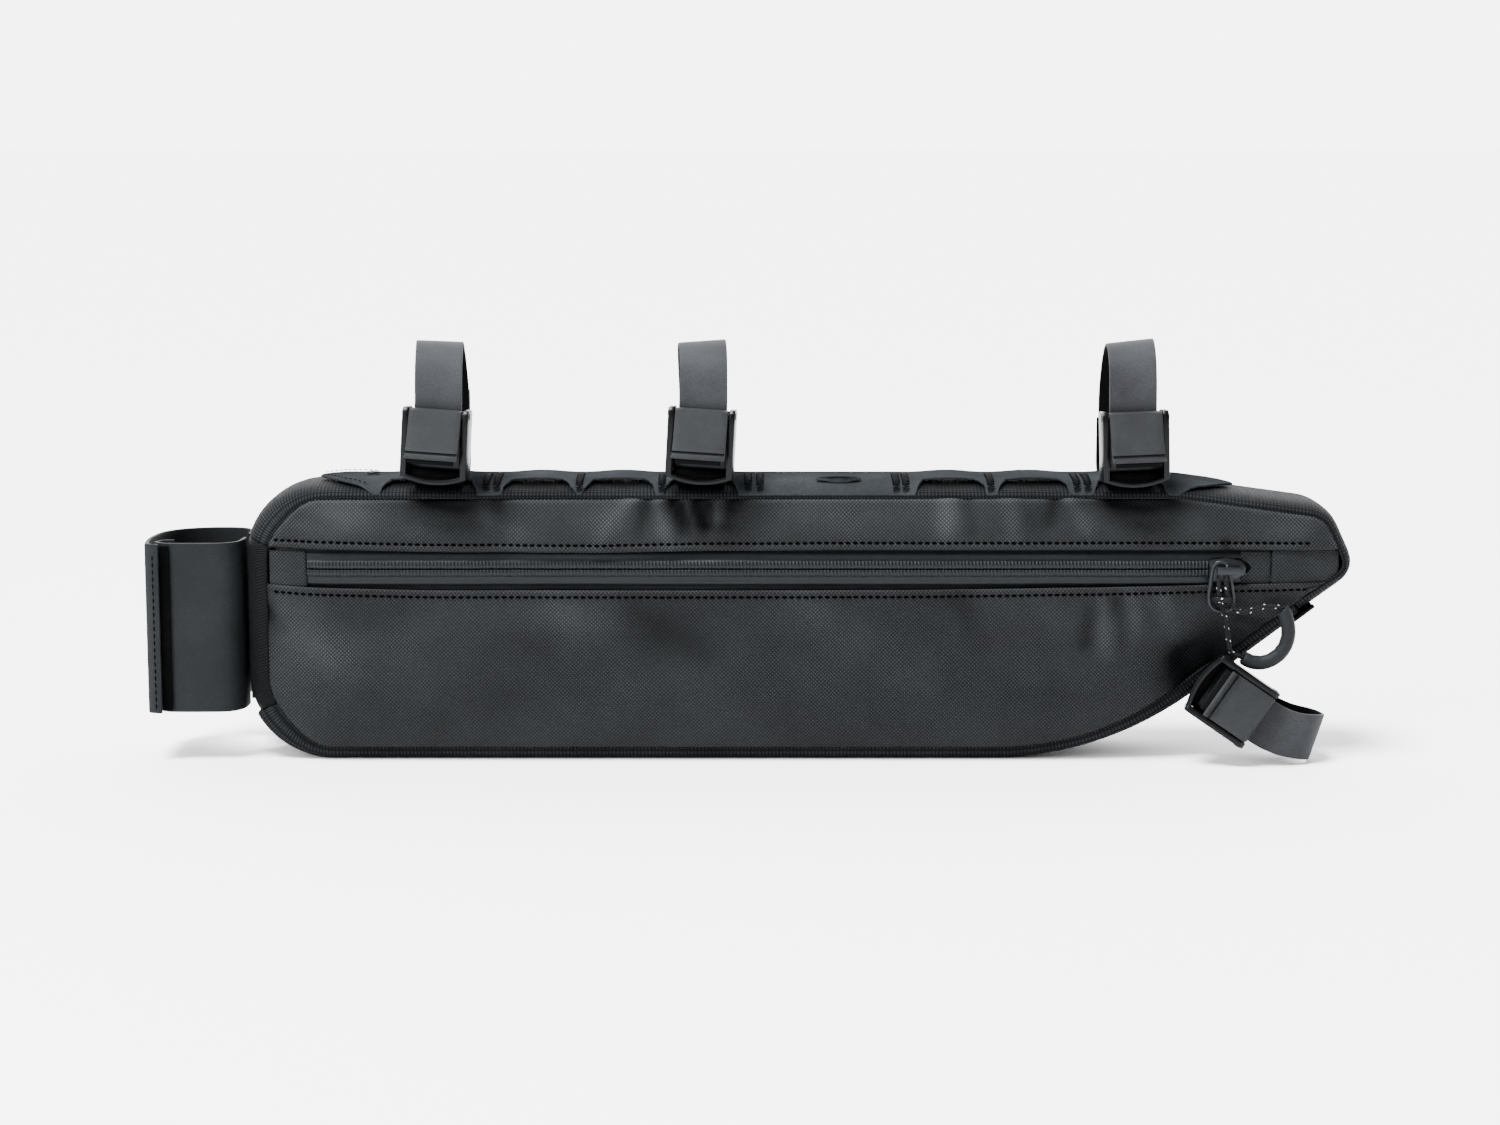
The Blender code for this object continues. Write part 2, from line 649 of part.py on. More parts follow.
def lever_mesh():
    """Cam lever about its pin: a round cam, a curved plate below it and two stub pins."""
    turns = [math.radians(a) for a in range(180, -61, -24)]
    cam = [(CAM_RADIUS * math.cos(a), CAM_RADIUS * math.sin(a)) for a in turns]
    reach, drop, thick = LEVER_REACH, LEVER_LENGTH, LEVER_THICKNESS
    back = [
        (-reach * 0.12, -drop * 0.30), (-reach * 0.42, -drop * 0.70), (-reach * 0.70, -drop * 0.93),
        (-reach * 0.80, -drop * 0.985), (-reach * 0.80 - thick * 0.4, -drop),
    ]
    front = [
        (-reach * 0.95 - thick, -drop * 0.98), (-reach * 0.70 - thick * 1.05, -drop * 0.86),
        (-reach * 0.42 - thick * 1.1, -drop * 0.60), (-CAM_RADIUS - reach * 0.10, -drop * 0.22),
    ]
    plate = profile_solid("lever_plate", [*cam, *back, *front], INSIDE - 2 * LEVER_PLAY)
    pins = rod_mesh("pins", PIN_RADIUS, FRAME_WIDTH - 2 * GAP, 0.0, 0.0)
    return combined("cam_lever", [plate, pins])


def build_buckle(number, frame, lever, place, looks, lever_turn=0.0):
    """A buckle frame with its lever, both carried by an empty at the buckle's foot."""
    carrier = bpy.data.objects.new(f"buckle_place_{number}", None)
    bpy.context.scene.collection.objects.link(carrier)
    carrier.matrix_world = place
    new_object(f"buckle_frame_{number}", frame, looks["plastic"], carrier)
    cam = new_object(f"cam_lever_{number}", lever, looks["lever"], carrier)
    cam.location = (0, PIN_Y, PIN_HEIGHT)
    cam.rotation_euler.x = math.radians(-lever_turn)


def strap(name, points, across, thickness, look):
    """A flat strap along points, with the direction across it at each point."""
    rows = [[p - a * STRAP_WIDTH / 2, p + a * STRAP_WIDTH / 2] for p, a in zip(points, across)]
    return sheet(name, rows, thickness, look, offset=0.0)


def eased(share):
    share = max(0.0, min(1.0, share))
    return share * share * (3 - 2 * share)


BASE_LIFT = GAP + BASE_THICKNESS / 2
WRAP_RADIUS = ROD_RADIUS + GAP + BASE_THICKNESS / 2


def build_top_straps(frame, lever, looks):
    """Three straps: each has a base under the rail, a loop over it, and a cam buckle in front."""
    for number, (share, above_bag, turn, roll, lean, tail_above) in enumerate(TOP_STRAPS, 1):
        place = share * BODY_LENGTH
        height = BODY_HEIGHT + above_bag
        tail_end = BODY_HEIGHT + tail_above
        rolled = Matrix.Rotation(math.radians(roll), 3, "Y")
        facing = rolled @ Matrix.Rotation(math.radians(turn), 3, "Z")
        foot = Vector((place, -BUCKLE_PLACE, height))
        build_buckle(number, frame, lever, Matrix.Translation(foot) @ facing.to_4x4(), looks)

        rise = LOOP_TOP - height
        straight = [Vector((0, TAIL_HEIGHT + (FRAME_LENGTH - TAIL_HEIGHT) * k / 3)) for k in range(4)]
        shape = [Vector((y * LOOP_DEPTH, z * rise)) for y, z in LOOP_SHAPE]
        loop = straight[:-1] + smooth_path([straight[-1], *shape], 5 * MM)
        points, across = [], []
        shift = math.tan(math.radians(roll)) * FRAME_LENGTH
        for here in loop:
            follows = 1 - eased(here.x / LOOP_DEPTH)
            spin = rolled @ Matrix.Rotation(math.radians(turn) * follows, 3, "Z")
            up = eased((here.y - FRAME_LENGTH) / (rise - FRAME_LENGTH))
            tilt = Matrix.Rotation(math.radians(lean) * up, 3, "Y")
            above = max(0.0, here.y - FRAME_LENGTH)
            sideways = shift * eased(here.x / LOOP_DEPTH * 1.2)
            sideways += math.tan(math.radians(roll)) * above * (1 - follows)
            stem = rolled @ Vector((0, 0, min(here.y, FRAME_LENGTH)))
            level = Matrix.Rotation(math.radians(roll) * (1 - follows), 3, "Y").inverted()
            points.append(foot + stem + Vector((-sideways * 0.6, here.x, above)))
            across.append((level @ spin @ tilt @ Vector((1, 0, 0))).normalized())
        strap(f"strap_{number}", points, across, STRAP_THICKNESS, looks["strap"])

        middle = place + shift * 0.4
        run = run_at_top(middle)
        local = [
            Vector((WRAP_RADIUS * math.cos(a), ROD_HEIGHT + WRAP_RADIUS * math.sin(a)))
            for a in (math.radians(degrees) for degrees in range(210, -1, -30))
        ]
        wrap = [foot + facing @ Vector((0, y, z)) for y, z in local]
        side = HALF_WIDTH * 0.76
        bed = [gusset_point(run, y * side, BASE_LIFT + GAP / 2) for y in (-1.0, -0.74, -0.47, 0.0, 0.47, 0.70)]
        bed.append(gusset_point(run, 0.84 * side, BASE_LIFT + 3 * GAP))
        back_y = LOOP_DEPTH - BUCKLE_PLACE + STRAP_THICKNESS / 2 + 2 * GAP + BASE_THICKNESS / 2
        turn_up = bed[-1].z + 2.8 * MM
        tail = [
            Vector((bed[-1].x, back_y - MM / 10, turn_up)),
            *(Vector((bed[-1].x, back_y, turn_up + (tail_end - turn_up) * k / 3)) for k in range(1, 4)),
        ]
        down = (wrap[-1] + bed[0]) / 2 + Vector((0, -0.6 * MM, 0))
        route = wrap + smooth_path([wrap[-1], down, *bed, *tail], 4 * MM)[1:]
        level = Vector((1, 0, 0))
        turned = facing @ level
        across = [turned.lerp(level, eased((i - len(wrap) + 1) / 3)).normalized() for i in range(len(route))]
        strap(f"strap_base_{number}", route, across, BASE_THICKNESS, looks["webbing"])


def build_low_strap(frame, lever, looks):
    """The strap under the nose: its buckle lies in front of the bag and its loop rests on the floor."""
    foot = Vector((LOW_BUCKLE[0], -LOW_BUCKLE_PLACE, LOW_BUCKLE[1]))
    swung = Matrix.Rotation(math.radians(LOW_SWING), 4, "X")
    facing = Matrix.Rotation(math.radians(90 + LOW_TURN), 4, "Y") @ swung
    build_buckle(len(TOP_STRAPS) + 1, frame, lever, Matrix.Translation(foot) @ facing, looks, LOW_LEVER)
    turn = facing.to_3x3()

    # Loop: reach from the buckle's foot and depth behind the strap plane, as shares
    back = LOW_LOOP_DEPTH
    reach = LOW_LOOP_REACH
    straight = [Vector((0, 0, TAIL_HEIGHT + (FRAME_LENGTH - TAIL_HEIGHT) * k / 3)) for k in range(4)]
    shape = [Vector((0, back * y, reach * z)) for y, z in LOW_LOOP_SHAPE]
    loop = straight[:-1] + smooth_path([straight[-1], *shape], 5 * MM)
    points, across = [], []
    for here in loop:
        bend = math.radians(LOW_DROOP - LOW_TURN) * eased((here.z - FRAME_LENGTH) / (reach - FRAME_LENGTH))
        swing = Matrix.Rotation(bend, 3, "Y")
        ahead = Vector((0, 0, max(0.0, here.z - FRAME_LENGTH)))
        stem = Vector((0, here.y, min(here.z, FRAME_LENGTH)))
        points.append(foot + turn @ (stem + swing @ ahead))
        across.append(turn @ swing @ Vector((1, 0, 0)))
    strap(f"strap_{len(TOP_STRAPS) + 1}", points, across, STRAP_THICKNESS, looks["strap"])

    # Base: round the rod, then over the slanting gusset behind it
    angles = [math.radians(a) for a in range(210, -1, -30)]
    local = [Vector((0, math.cos(a), math.sin(a))) * WRAP_RADIUS for a in angles]
    wrap = [foot + turn @ (p + Vector((0, 0, ROD_HEIGHT))) for p in local]
    run = outline.run_where(0.0, RUN_NOSE, lambda p: p.x > LOW_BUCKLE[0] + STRAP_WIDTH * 0.3)
    slope = outline.at(run)[1]
    along = Vector((-slope.y, 0, slope.x))
    level = turn @ Vector((1, 0, 0))
    if along.dot(level) < 0:
        along = -along
    side = HALF_WIDTH * 0.76
    places = (-1.0, -0.7, -0.35, 0.0, 0.35, 0.7)
    bed = [gusset_point(run, side * y, BASE_LIFT + GAP, BOTTOM_SECTION) for y in places]
    step = (bed[0] - wrap[-1]) / 3
    out = Vector((slope.x, 0, slope.y)) * 2.0 * MM
    link = [wrap[-1] + step + out * 0.6, wrap[-1] + step * 2 + out]
    route = wrap + smooth_path([wrap[-1], *link, *bed], 4 * MM)[1:]
    count = 3
    across = [level.lerp(along, eased((i - len(wrap) + 1) / count)).normalized() for i in range(len(route))]
    strap(f"strap_base_{len(TOP_STRAPS) + 1}", route, across, BASE_THICKNESS, looks["webbing"])


def build_rail(looks):
    """The strap rail: a strip with pointed ends and windows in both edges, lifted where a strap can pass."""
    length = RAIL_END - RAIL_START
    stations = [(0.0, 0.08, 0.0), (RAIL_POINT * 0.45, 0.62, 0.0), (RAIL_POINT * 0.9, 0.97, 0.0)]
    for i, (first, last) in enumerate(WINDOWS):
        start, end = first * length, last * length
        bridge = BRIDGE_WIDTH / RAIL_WIDTH
        stations += [
            (start, 1.0, 0.0), (start + WINDOW_SLOPE / 2, bridge * 1.2, 0.65),
            (start + WINDOW_SLOPE, bridge, 1.0),
            ((start + end) / 2, bridge, 1.15),
            (end - WINDOW_SLOPE, bridge, 1.0), (end - WINDOW_SLOPE / 2, bridge * 1.2, 0.65), (end, 1.0, 0.0),
        ]
        if i + 1 < len(WINDOWS) and WINDOWS[i + 1][0] - last > 0.1:
            gap = (WINDOWS[i + 1][0] - last) * length
            stations += [(end + gap * k / 4, 1.0, 0.0) for k in (1, 2, 3)]
    stations += [(length - RAIL_POINT * 0.9, 0.97, 0.0), (length - RAIL_POINT * 0.45, 0.62, 0.0)]
    stations.append((length, 0.08, 0.0))
    creases = [(share * HALF_WIDTH, part) for share, part in ((0.76, 0.9), (0.56, 0.75), (0.36, 0.5))]
    rows = []
    for along, share, lifted in stations:
        run = run_at_top(RAIL_START + along)
        half = RAIL_WIDTH / 2 * share
        top = RAIL_THICKNESS + 1.8 * GAP + RAIL_LIFT * lifted
        ends = [half, *(min(crease, half * part) for crease, part in creases)]
        across = (*(-y for y in ends), 0.0, *ends[::-1])
        rows.append([gusset_point(run, y, top + (GAP if abs(y) > 0.7 * HALF_WIDTH else 0)) for y in across])
    sheet("strap_rail", rows, RAIL_THICKNESS, looks["rail"], flip=True)


def disc_on_rail(name, x, y, size, hole, look, sides=16):
    """A thin plate on the rail, oval or round, with a hole where one is asked for."""
    thickness = 0.8 * MM
    top = RAIL_THICKNESS + 4 * GAP + thickness
    turns = [math.tau * k / sides for k in range(sides + 1)]
    rim = [(size[0] * math.cos(a), size[1] * math.sin(a)) for a in turns[:-1]]
    rows = [[gusset_point(run_at_top(x + u * r), y + v * r, top) for u, v in rim] for r in (1.0, hole)]
    mesh = bpy.data.meshes.new(name)
    points = [tuple(p) for row in rows for p in row]
    faces = [(k, (k + 1) % sides, sides + (k + 1) % sides, sides + k) for k in range(sides)]
    mesh.from_pydata(points, [], faces)
    mesh.update()
    made = new_object(name, mesh, look)
    wall = made.modifiers.new("wall", "SOLIDIFY")
    wall.thickness = thickness
    wall.offset = -1
    return made


def front_prism(name, shape, back, front):
    """A prism from an outline in x and z, between two distances in front."""
    mesh = bmesh.new()
    face = mesh.faces.new([mesh.verts.new((x, -back, z)) for x, z in shape])
    pushed = bmesh.ops.extrude_face_region(mesh, geom=[face])
    moved = [v for v in pushed["geom"] if isinstance(v, bmesh.types.BMVert)]
    bmesh.ops.translate(mesh, vec=(0, back - front, 0), verts=moved)
    bmesh.ops.recalc_face_normals(mesh, faces=mesh.faces)
    made = bpy.data.meshes.new(name)
    mesh.to_mesh(made)
    mesh.free()
    return made


def build_slider(looks):
    """Zip slider with its bridge, and the wire ring of the pull."""
    beside = [SLIDER_PLACE + k * 5 * MM for k in range(-4, 5)]
    near = [face_depth(x, ZIP_HEIGHT + z * MM) for x in beside for z in (-4, 0, 4)]
    deck = max(near) - TAPE_BEHIND + COIL_RISE + GAP
    left, right, half = -4.4 * MM, 6.2 * MM, 1.6 * MM

    def block(first, last, back, front):
        shape = ((first, -half), (first, half), (last, half), (last, -half))
        return front_prism("block", shape, back, front)

    inside = SLIDER_BODY / 2
    pieces = [
        front_prism("body", SLIDER_SHAPE, 0.0, SLIDER_BODY),
        block(left, left + 1.3 * MM, inside, SLIDER_HEIGHT),
        block(right - 1.3 * MM, right, inside, SLIDER_HEIGHT),
        block(left, right, SLIDER_HEIGHT - BRIDGE_BAR, SLIDER_HEIGHT),
    ]
    slider = new_object("zip_slider", combined("zip_slider", pieces), looks["metal"])
    slider.location = (SLIDER_PLACE, -deck, ZIP_HEIGHT)

    # The ring goes round the left post, behind the bridge, and hangs down to the panel
    above = -(deck + SLIDER_BODY + (SLIDER_HEIGHT - BRIDGE_BAR - SLIDER_BODY) / 2)
    panel = max(face_depth(x, ZIP_HEIGHT + z) for x in beside for _, z, _ in RING_SHAPE)
    below = -(panel + GAP + RING_WIRE / 2)
    curve = bpy.data.curves.new("pull_ring", "CURVE")
    curve.dimensions = "3D"
    spline = curve.splines.new("POLY")
    spline.points.add(len(RING_SHAPE) - 1)
    for point, (x, z, share) in zip(spline.points, RING_SHAPE):
        point.co = (SLIDER_PLACE + x, above + (below - above) * share, ZIP_HEIGHT + z, 1)
    spline.use_cyclic_u = True
    curve.bevel_depth = RING_WIRE / 2
    curve.bevel_resolution = 1
    curve.resolution_u = 1
    new_object("pull_ring", curve, looks["metal"])


def tube_rows(points, radius, sides):
    """Rings of points round a path, carried along it without twist."""
    rows = []
    side = Vector((0, 1, 0))
    for i, here in enumerate(points):
        ahead = (points[min(i + 1, len(points) - 1)] - points[max(i - 1, 0)]).normalized()
        side = (side - ahead * side.dot(ahead)).normalized()
        up = ahead.cross(side)
        turns = [math.tau * k / sides for k in range(sides)]
        rows.append([here + (side * math.cos(a) + up * math.sin(a)) * radius for a in turns])
    return rows


def build_cord(looks):
    """The pull's cord, from the ring through the grip and back, and the bent rubber grip on it."""
    route = [Vector((SLIDER_PLACE + x, -HALF_WIDTH - y, ZIP_HEIGHT + z)) for x, z, y in CORD_ROUTE]
    curve = bpy.data.curves.new("pull_cord", "CURVE")
    curve.dimensions = "3D"
    fine = smooth_path(route, 2.4 * CORD_DIAMETER)
    spline = curve.splines.new("POLY")
    spline.points.add(len(fine) - 1)
    for point, place in zip(spline.points, fine):
        point.co = (*place, 1)
    curve.bevel_depth = CORD_DIAMETER / 2
    curve.bevel_resolution = 2
    curve.use_fill_caps = True
    curve.resolution_u = 1
    new_object("pull_cord", curve, looks["cord"])

    sides = 12
    ends = (route[GRIP_FIRST], route[GRIP_LAST])
    first, last = (min(range(len(fine)), key=lambda i: (fine[i] - end).length) for end in ends)
    held = fine[first : last + 1]
    outer = tube_rows(held, GRIP_DIAMETER / 2, sides)
    inner = tube_rows(held, GRIP_BORE / 2, sides)
    loop = outer + inner[::-1]
    points = [tuple(p) for ring in loop for p in ring]
    count = len(loop)
    faces = []
    for i in range(count):
        for k in range(sides):
            here, after, beside = i * sides, (i + 1) % count * sides, (k + 1) % sides
            faces.append((here + k, here + beside, after + beside, after + k))
    mesh = bpy.data.meshes.new("pull_grip")
    mesh.from_pydata(points, [], faces)
    shaped = bmesh.new()
    shaped.from_mesh(mesh)
    bmesh.ops.recalc_face_normals(shaped, faces=shaped.faces)
    shaped.to_mesh(mesh)
    shaped.free()
    new_object("pull_grip", mesh, looks["rubber"])


def build_wrap(looks):
    """The end wrap: a front and a back leaf sewn to the end band, closed with hook tape at the far corner."""
    middle = WRAP_THICKNESS / 2
    root = -HALF_LENGTH - GAP - middle
    far = root - WRAP_LENGTH
    step = WRAP_LENGTH / 43
    front_y = -(HALF_WIDTH - 0.5 * step)
    flap_y = front_y - middle - 2 * GAP - HOOK_THICKNESS - middle

    def leaf(name, plan, thickness, look, low=WRAP_BOTTOM, high=WRAP_TOP, spacing=5 * step):
        route = smooth_path([Vector((x, y, 0)) for x, y in plan], spacing)
        rows = [[Vector((p.x, p.y, low + (high - low) * k / 2)) for k in range(3)] for p in route]
        sheet(name, rows, thickness, look, offset=0.0)

    seat = HALF_WIDTH * 0.36
    front = (
        (root, -seat * 0.6), (root, -seat), (root - 0.8 * step, -HALF_WIDTH * 0.74),
        (root - 5 * step, front_y + 1.2 * step), (root - WRAP_LENGTH * 0.35, front_y),
        (root - WRAP_LENGTH * 0.62, front_y), (root - WRAP_LENGTH * 0.80, front_y + step / 2),
        (far + 4.4 * step, front_y + 5 * step), (far + 6.5 * step, front_y + 10 * step),
        (far + 12 * step, front_y + 11.5 * step),
    )
    back = (
        (root, seat * 0.6), (root, seat), (root - 0.8 * step, HALF_WIDTH * 0.74),
        (root - 5 * step, HALF_WIDTH * 0.93),
        (root - WRAP_LENGTH * 0.4, HALF_WIDTH), (root - WRAP_LENGTH * 0.74, HALF_WIDTH * 0.84),
        (far + 2.5 * step, HALF_WIDTH * 0.44), (far, -HALF_WIDTH * 0.1), (far, -HALF_WIDTH * 0.6),
        (far + 2.0 * step, flap_y + 2.2 * step), (far + 6.0 * step, flap_y + 0.2 * step),
        (far + 10.5 * step, flap_y),
    )
    leaf("wrap_front", front, WRAP_THICKNESS, looks["wrap"])
    leaf("wrap_back", back, WRAP_THICKNESS, looks["wrap"])
    hook_y = front_y - middle - GAP - HOOK_THICKNESS / 2
    hook_end = root - WRAP_LENGTH * 0.62
    hook = tuple((hook_end - HOOK_LENGTH * k / 3, hook_y) for k in range(4))
    leaf("hook_strip", hook, HOOK_THICKNESS, looks["webbing"], WRAP_BOTTOM + MM, WRAP_TOP - MM)


def main():
    for left_over in list(bpy.data.objects):
        bpy.data.objects.remove(left_over)
    looks = {
        "coated": material("coated_fabric", (0.045, 0.048, 0.052), 0.5),
        "woven": material("woven_fabric", (0.012, 0.012, 0.013), 0.85),
        "ribbed": material("ribbed_webbing", (0.02, 0.02, 0.022), 0.75),
        "webbing": material("webbing", (0.01, 0.01, 0.011), 0.85),
        "rail": material("moulded_rail", (0.04, 0.043, 0.047), 0.55),
        "strap": material("coated_strap", (0.06, 0.065, 0.07), 0.5),
        "wrap": material("wrap_fabric", (0.035, 0.037, 0.04), 0.7),
        "zip": material("zip_film", (0.035, 0.037, 0.04), 0.4),
        "plastic": material("buckle_plastic", (0.012, 0.012, 0.013), 0.35),
        "lever": material("lever_plastic", (0.06, 0.065, 0.07), 0.5),
        "metal": material("coated_metal", (0.03, 0.03, 0.032), 0.35, 0.4),
        "cord": material("cord", (0.01, 0.01, 0.01), 0.8),
        "rubber": material("grip_rubber", (0.05, 0.054, 0.058), 0.6),
    }
    build_gusset(looks)
    build_nose_tab(looks)
    build_faces(looks)
    build_zip(looks)
    build_slider(looks)
    build_cord(looks)
    build_rail(looks)
    eyelet, badge = (EYELET_RADIUS, EYELET_RADIUS), (BADGE_LENGTH / 2, BADGE_WIDTH / 2)
    eyelet_hole = EYELET_HOLE / EYELET_RADIUS
    disc_on_rail("rail_eyelet", RAIL_START + RAIL_POINT * 0.85, 0.0, eyelet, eyelet_hole, looks["plastic"])
    disc_on_rail("rail_badge", BODY_LENGTH * 0.03526, -HALF_WIDTH * 0.70, badge, 0.55, looks["rail"])
    frame, lever = frame_mesh(), lever_mesh()
    build_top_straps(frame, lever, looks)
    build_low_strap(frame, lever, looks)
    build_wrap(looks)


main()
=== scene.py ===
"""Frame bag: camera, light and the looks of its pieces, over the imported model. Metres, +Z up."""

import math

import bmesh
import bpy
import numpy as np
from mathutils import Matrix, Vector
from mathutils.bvhtree import BVHTree


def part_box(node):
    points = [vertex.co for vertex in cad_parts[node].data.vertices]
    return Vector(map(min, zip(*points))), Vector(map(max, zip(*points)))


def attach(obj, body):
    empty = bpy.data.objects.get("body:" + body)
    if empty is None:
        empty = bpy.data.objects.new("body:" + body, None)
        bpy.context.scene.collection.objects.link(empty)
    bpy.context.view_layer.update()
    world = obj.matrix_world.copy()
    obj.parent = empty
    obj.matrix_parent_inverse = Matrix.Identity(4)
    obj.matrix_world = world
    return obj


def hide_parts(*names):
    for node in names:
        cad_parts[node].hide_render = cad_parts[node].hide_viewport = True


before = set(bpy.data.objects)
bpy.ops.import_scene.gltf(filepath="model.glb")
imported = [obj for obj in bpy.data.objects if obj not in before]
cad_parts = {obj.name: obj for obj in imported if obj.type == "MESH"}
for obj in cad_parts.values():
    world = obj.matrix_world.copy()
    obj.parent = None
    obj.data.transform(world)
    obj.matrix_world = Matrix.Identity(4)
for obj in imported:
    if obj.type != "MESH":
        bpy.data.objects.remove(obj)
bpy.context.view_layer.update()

MM = 0.001

# Camera, level with the bag's middle and a little above it
TARGET = Vector((-0.0209, 0.0, 0.0806))
DISTANCE = 1.3
ELEVATION = math.radians(8.5)
PIXEL = 1 / 3045.0  # of the photograph, in radians
PHOTO_WIDE, PHOTO_MIDDLE = 1500, (750, 563)

# The bag, in the same sizes as its source; HALF is from its middle plane to a seam
LENGTH, HEIGHT, HALF = 0.468, 0.1165, 0.025
SEAM_SET, FRONT_BULGE, BACK_BULGE, EDGE_ROLL = 0.0045, 0.0065, 0.0050, 0.034
PANEL, GUSSET, ZIP = 0.0012, 0.0015, 0.0822
SLIDER_X, RAIL_START, RAIL_LENGTH, RAIL_WIDTH = 0.178, -0.203, 0.387, 0.0460
# Corners of the side outline: shares of length and height, and the radius as a share of the height
OUTLINE = (
    (0.000, 0.000, 0.3090),
    (0.776, 0.000, 1.2017),
    (1.003, 0.690, 0.0944),
    (0.976, 0.925, 0.1373),
    (0.840, 1.000, 0.6009),
    (0.000, 1.000, 0.2661),
)
# Across the gusset: share of the way to the seam, and the share of the crown's rise that is left there
TOP_SECTION = (
    (1.0, 0.0), (0.97, 0.30), (0.90, 0.55), (0.76, 0.80), (0.56, 0.94), (0.36, 1.0), (0.0, 1.0),
)
BOTTOM_SECTION = ((1.0, 0.0), (0.98, 0.38), (0.92, 0.75), (0.83, 0.97), (0.76, 1.0), (0.0, 1.0))


# Helpers


def linear(code):
    """Linear colour of an sRGB hex value."""
    parts = [int(code[i : i + 2], 16) / 255 for i in (1, 3, 5)]
    return (*(c / 12.92 if c <= 0.04045 else ((c + 0.055) / 1.055) ** 2.4 for c in parts), 1.0)


def add(tree, kind, feeds=None, **settings):
    """A node with its settings, its sockets fed by values or by other nodes' outputs."""
    made = tree.nodes.new("ShaderNode" + kind)
    for key, value in settings.items():
        setattr(made, key, value)
    for socket, value in (feeds or {}).items():
        if isinstance(value, bpy.types.NodeSocket):
            tree.links.new(value, made.inputs[socket])
        else:
            made.inputs[socket].default_value = value
    return made


def seen(px, py, front=0.0310):
    """Where a place in the photograph lies on the front, as x and z."""
    depth = DISTANCE - front * math.cos(ELEVATION)
    across, up = px - PHOTO_MIDDLE[0], PHOTO_MIDDLE[1] - py
    x = TARGET.x + across * PIXEL * depth
    z = TARGET.z + (up * PIXEL * depth + front * math.sin(ELEVATION)) / math.cos(ELEVATION)
    return x, z


def table(rows, at):
    """Reads a two-column table by its first column, in a straight line between rows."""
    firsts, seconds = zip(*sorted(rows))
    return float(np.interp(at, firsts, seconds))


def eased(share):
    """A share from 0 to 1 that starts and ends gently."""
    share = max(0.0, min(1.0, share))
    return share * share * (3 - 2 * share)


def both_ways(shares):
    """Shares from an edge to the middle and on to the other edge."""
    return [-s for s in shares] + list(shares[-2::-1])


def smooth_path(points, spacing):
    """Points about a spacing apart on a smooth curve through the given points."""
    found = [points[0]]
    for i in range(len(points) - 1):
        a, b = points[max(i - 1, 0)], points[i]
        c, d = points[i + 1], points[min(i + 2, len(points) - 1)]
        count = max(1, round((c - b).length / spacing))
        for k in range(1, count + 1):
            t = k / count
            bend, twist = 2 * a - 5 * b + 4 * c - d, 3 * b - a - 3 * c + d
            found.append(0.5 * (2 * b + (c - a) * t + bend * t**2 + twist * t**3))
    return found


def linked(name, mesh, look):
    """A mesh as a piece with its material."""
    made = bpy.data.objects.new(name, mesh)
    bpy.context.scene.collection.objects.link(made)
    mesh.materials.append(look)
    return made


def dress(obj, slot, *nodes, body="bag"):
    """Puts a finished piece on its body, in place of its CAD nodes."""
    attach(obj, body)
    if nodes:
        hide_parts(*nodes)
    return obj


def cloth(piece, flat, held, *rests_on):
    """Does nothing with a sheet of cloth and the size that it was cut to."""


def cut_length(piece, wide):
    """How long the flat piece was, from its two faces' area and its width."""
    return round(sum(face.area for face in piece.data.polygons) / 2 / wide, 4)


def only(obj):
    """Makes one object selected and active, and nothing else."""
    bpy.ops.object.select_all(action="DESELECT")
    obj.select_set(True)
    bpy.context.view_layer.objects.active = obj


def finish_modifiers(obj):
    """Applies all of a piece's modifiers."""
    only(obj)
    for modifier in list(obj.modifiers):
        bpy.ops.object.modifier_apply(modifier=modifier.name)


def store_painted_shading(piece, tones):
    """Stores at each point how much painted shade darkens a cloth; below zero, painted highlight makes it
    paler.
    """
    layer = piece.data.attributes.new("painted_shading", "FLOAT", "POINT")
    layer.data.foreach_set("value", np.array(tones, np.float32))


def cloth_mesh(name, rows, marks, look, flip=False, closed=False):
    """A sheet of quads through rows of points, with a UV map in metres from the marks of each point."""
    wide = len(rows[0])
    mesh = bpy.data.meshes.new(name)
    faces = []
    for i in range(len(rows) - 1):
        for j in range(wide if closed else wide - 1):
            k = (j + 1) % wide
            face = (i * wide + j, i * wide + k, (i + 1) * wide + k, (i + 1) * wide + j)
            faces.append(face[::-1] if flip else face)
    mesh.from_pydata([tuple(p) for row in rows for p in row], [], faces)
    flat = [m for row in marks for m in row]
    layer = mesh.uv_layers.new(name="cloth")
    for loop in mesh.loops:
        layer.data[loop.index].uv = flat[loop.vertex_index]
    mesh.shade_smooth()
    return linked(name, mesh, look)


def thicken(obj, thickness, rim=0):
    """Gives a cloth its thickness behind its face, and rounds it with one subdivision."""
    wall = obj.modifiers.new("thickness", "SOLIDIFY")
    wall.thickness, wall.offset = thickness, -1.0
    wall.use_quality_normals = True
    wall.material_offset_rim = rim
    rounding = obj.modifiers.new("rounding", "SUBSURF")
    rounding.levels = rounding.render_levels = 1
    finish_modifiers(obj)
    obj.data.shade_smooth()
    return obj


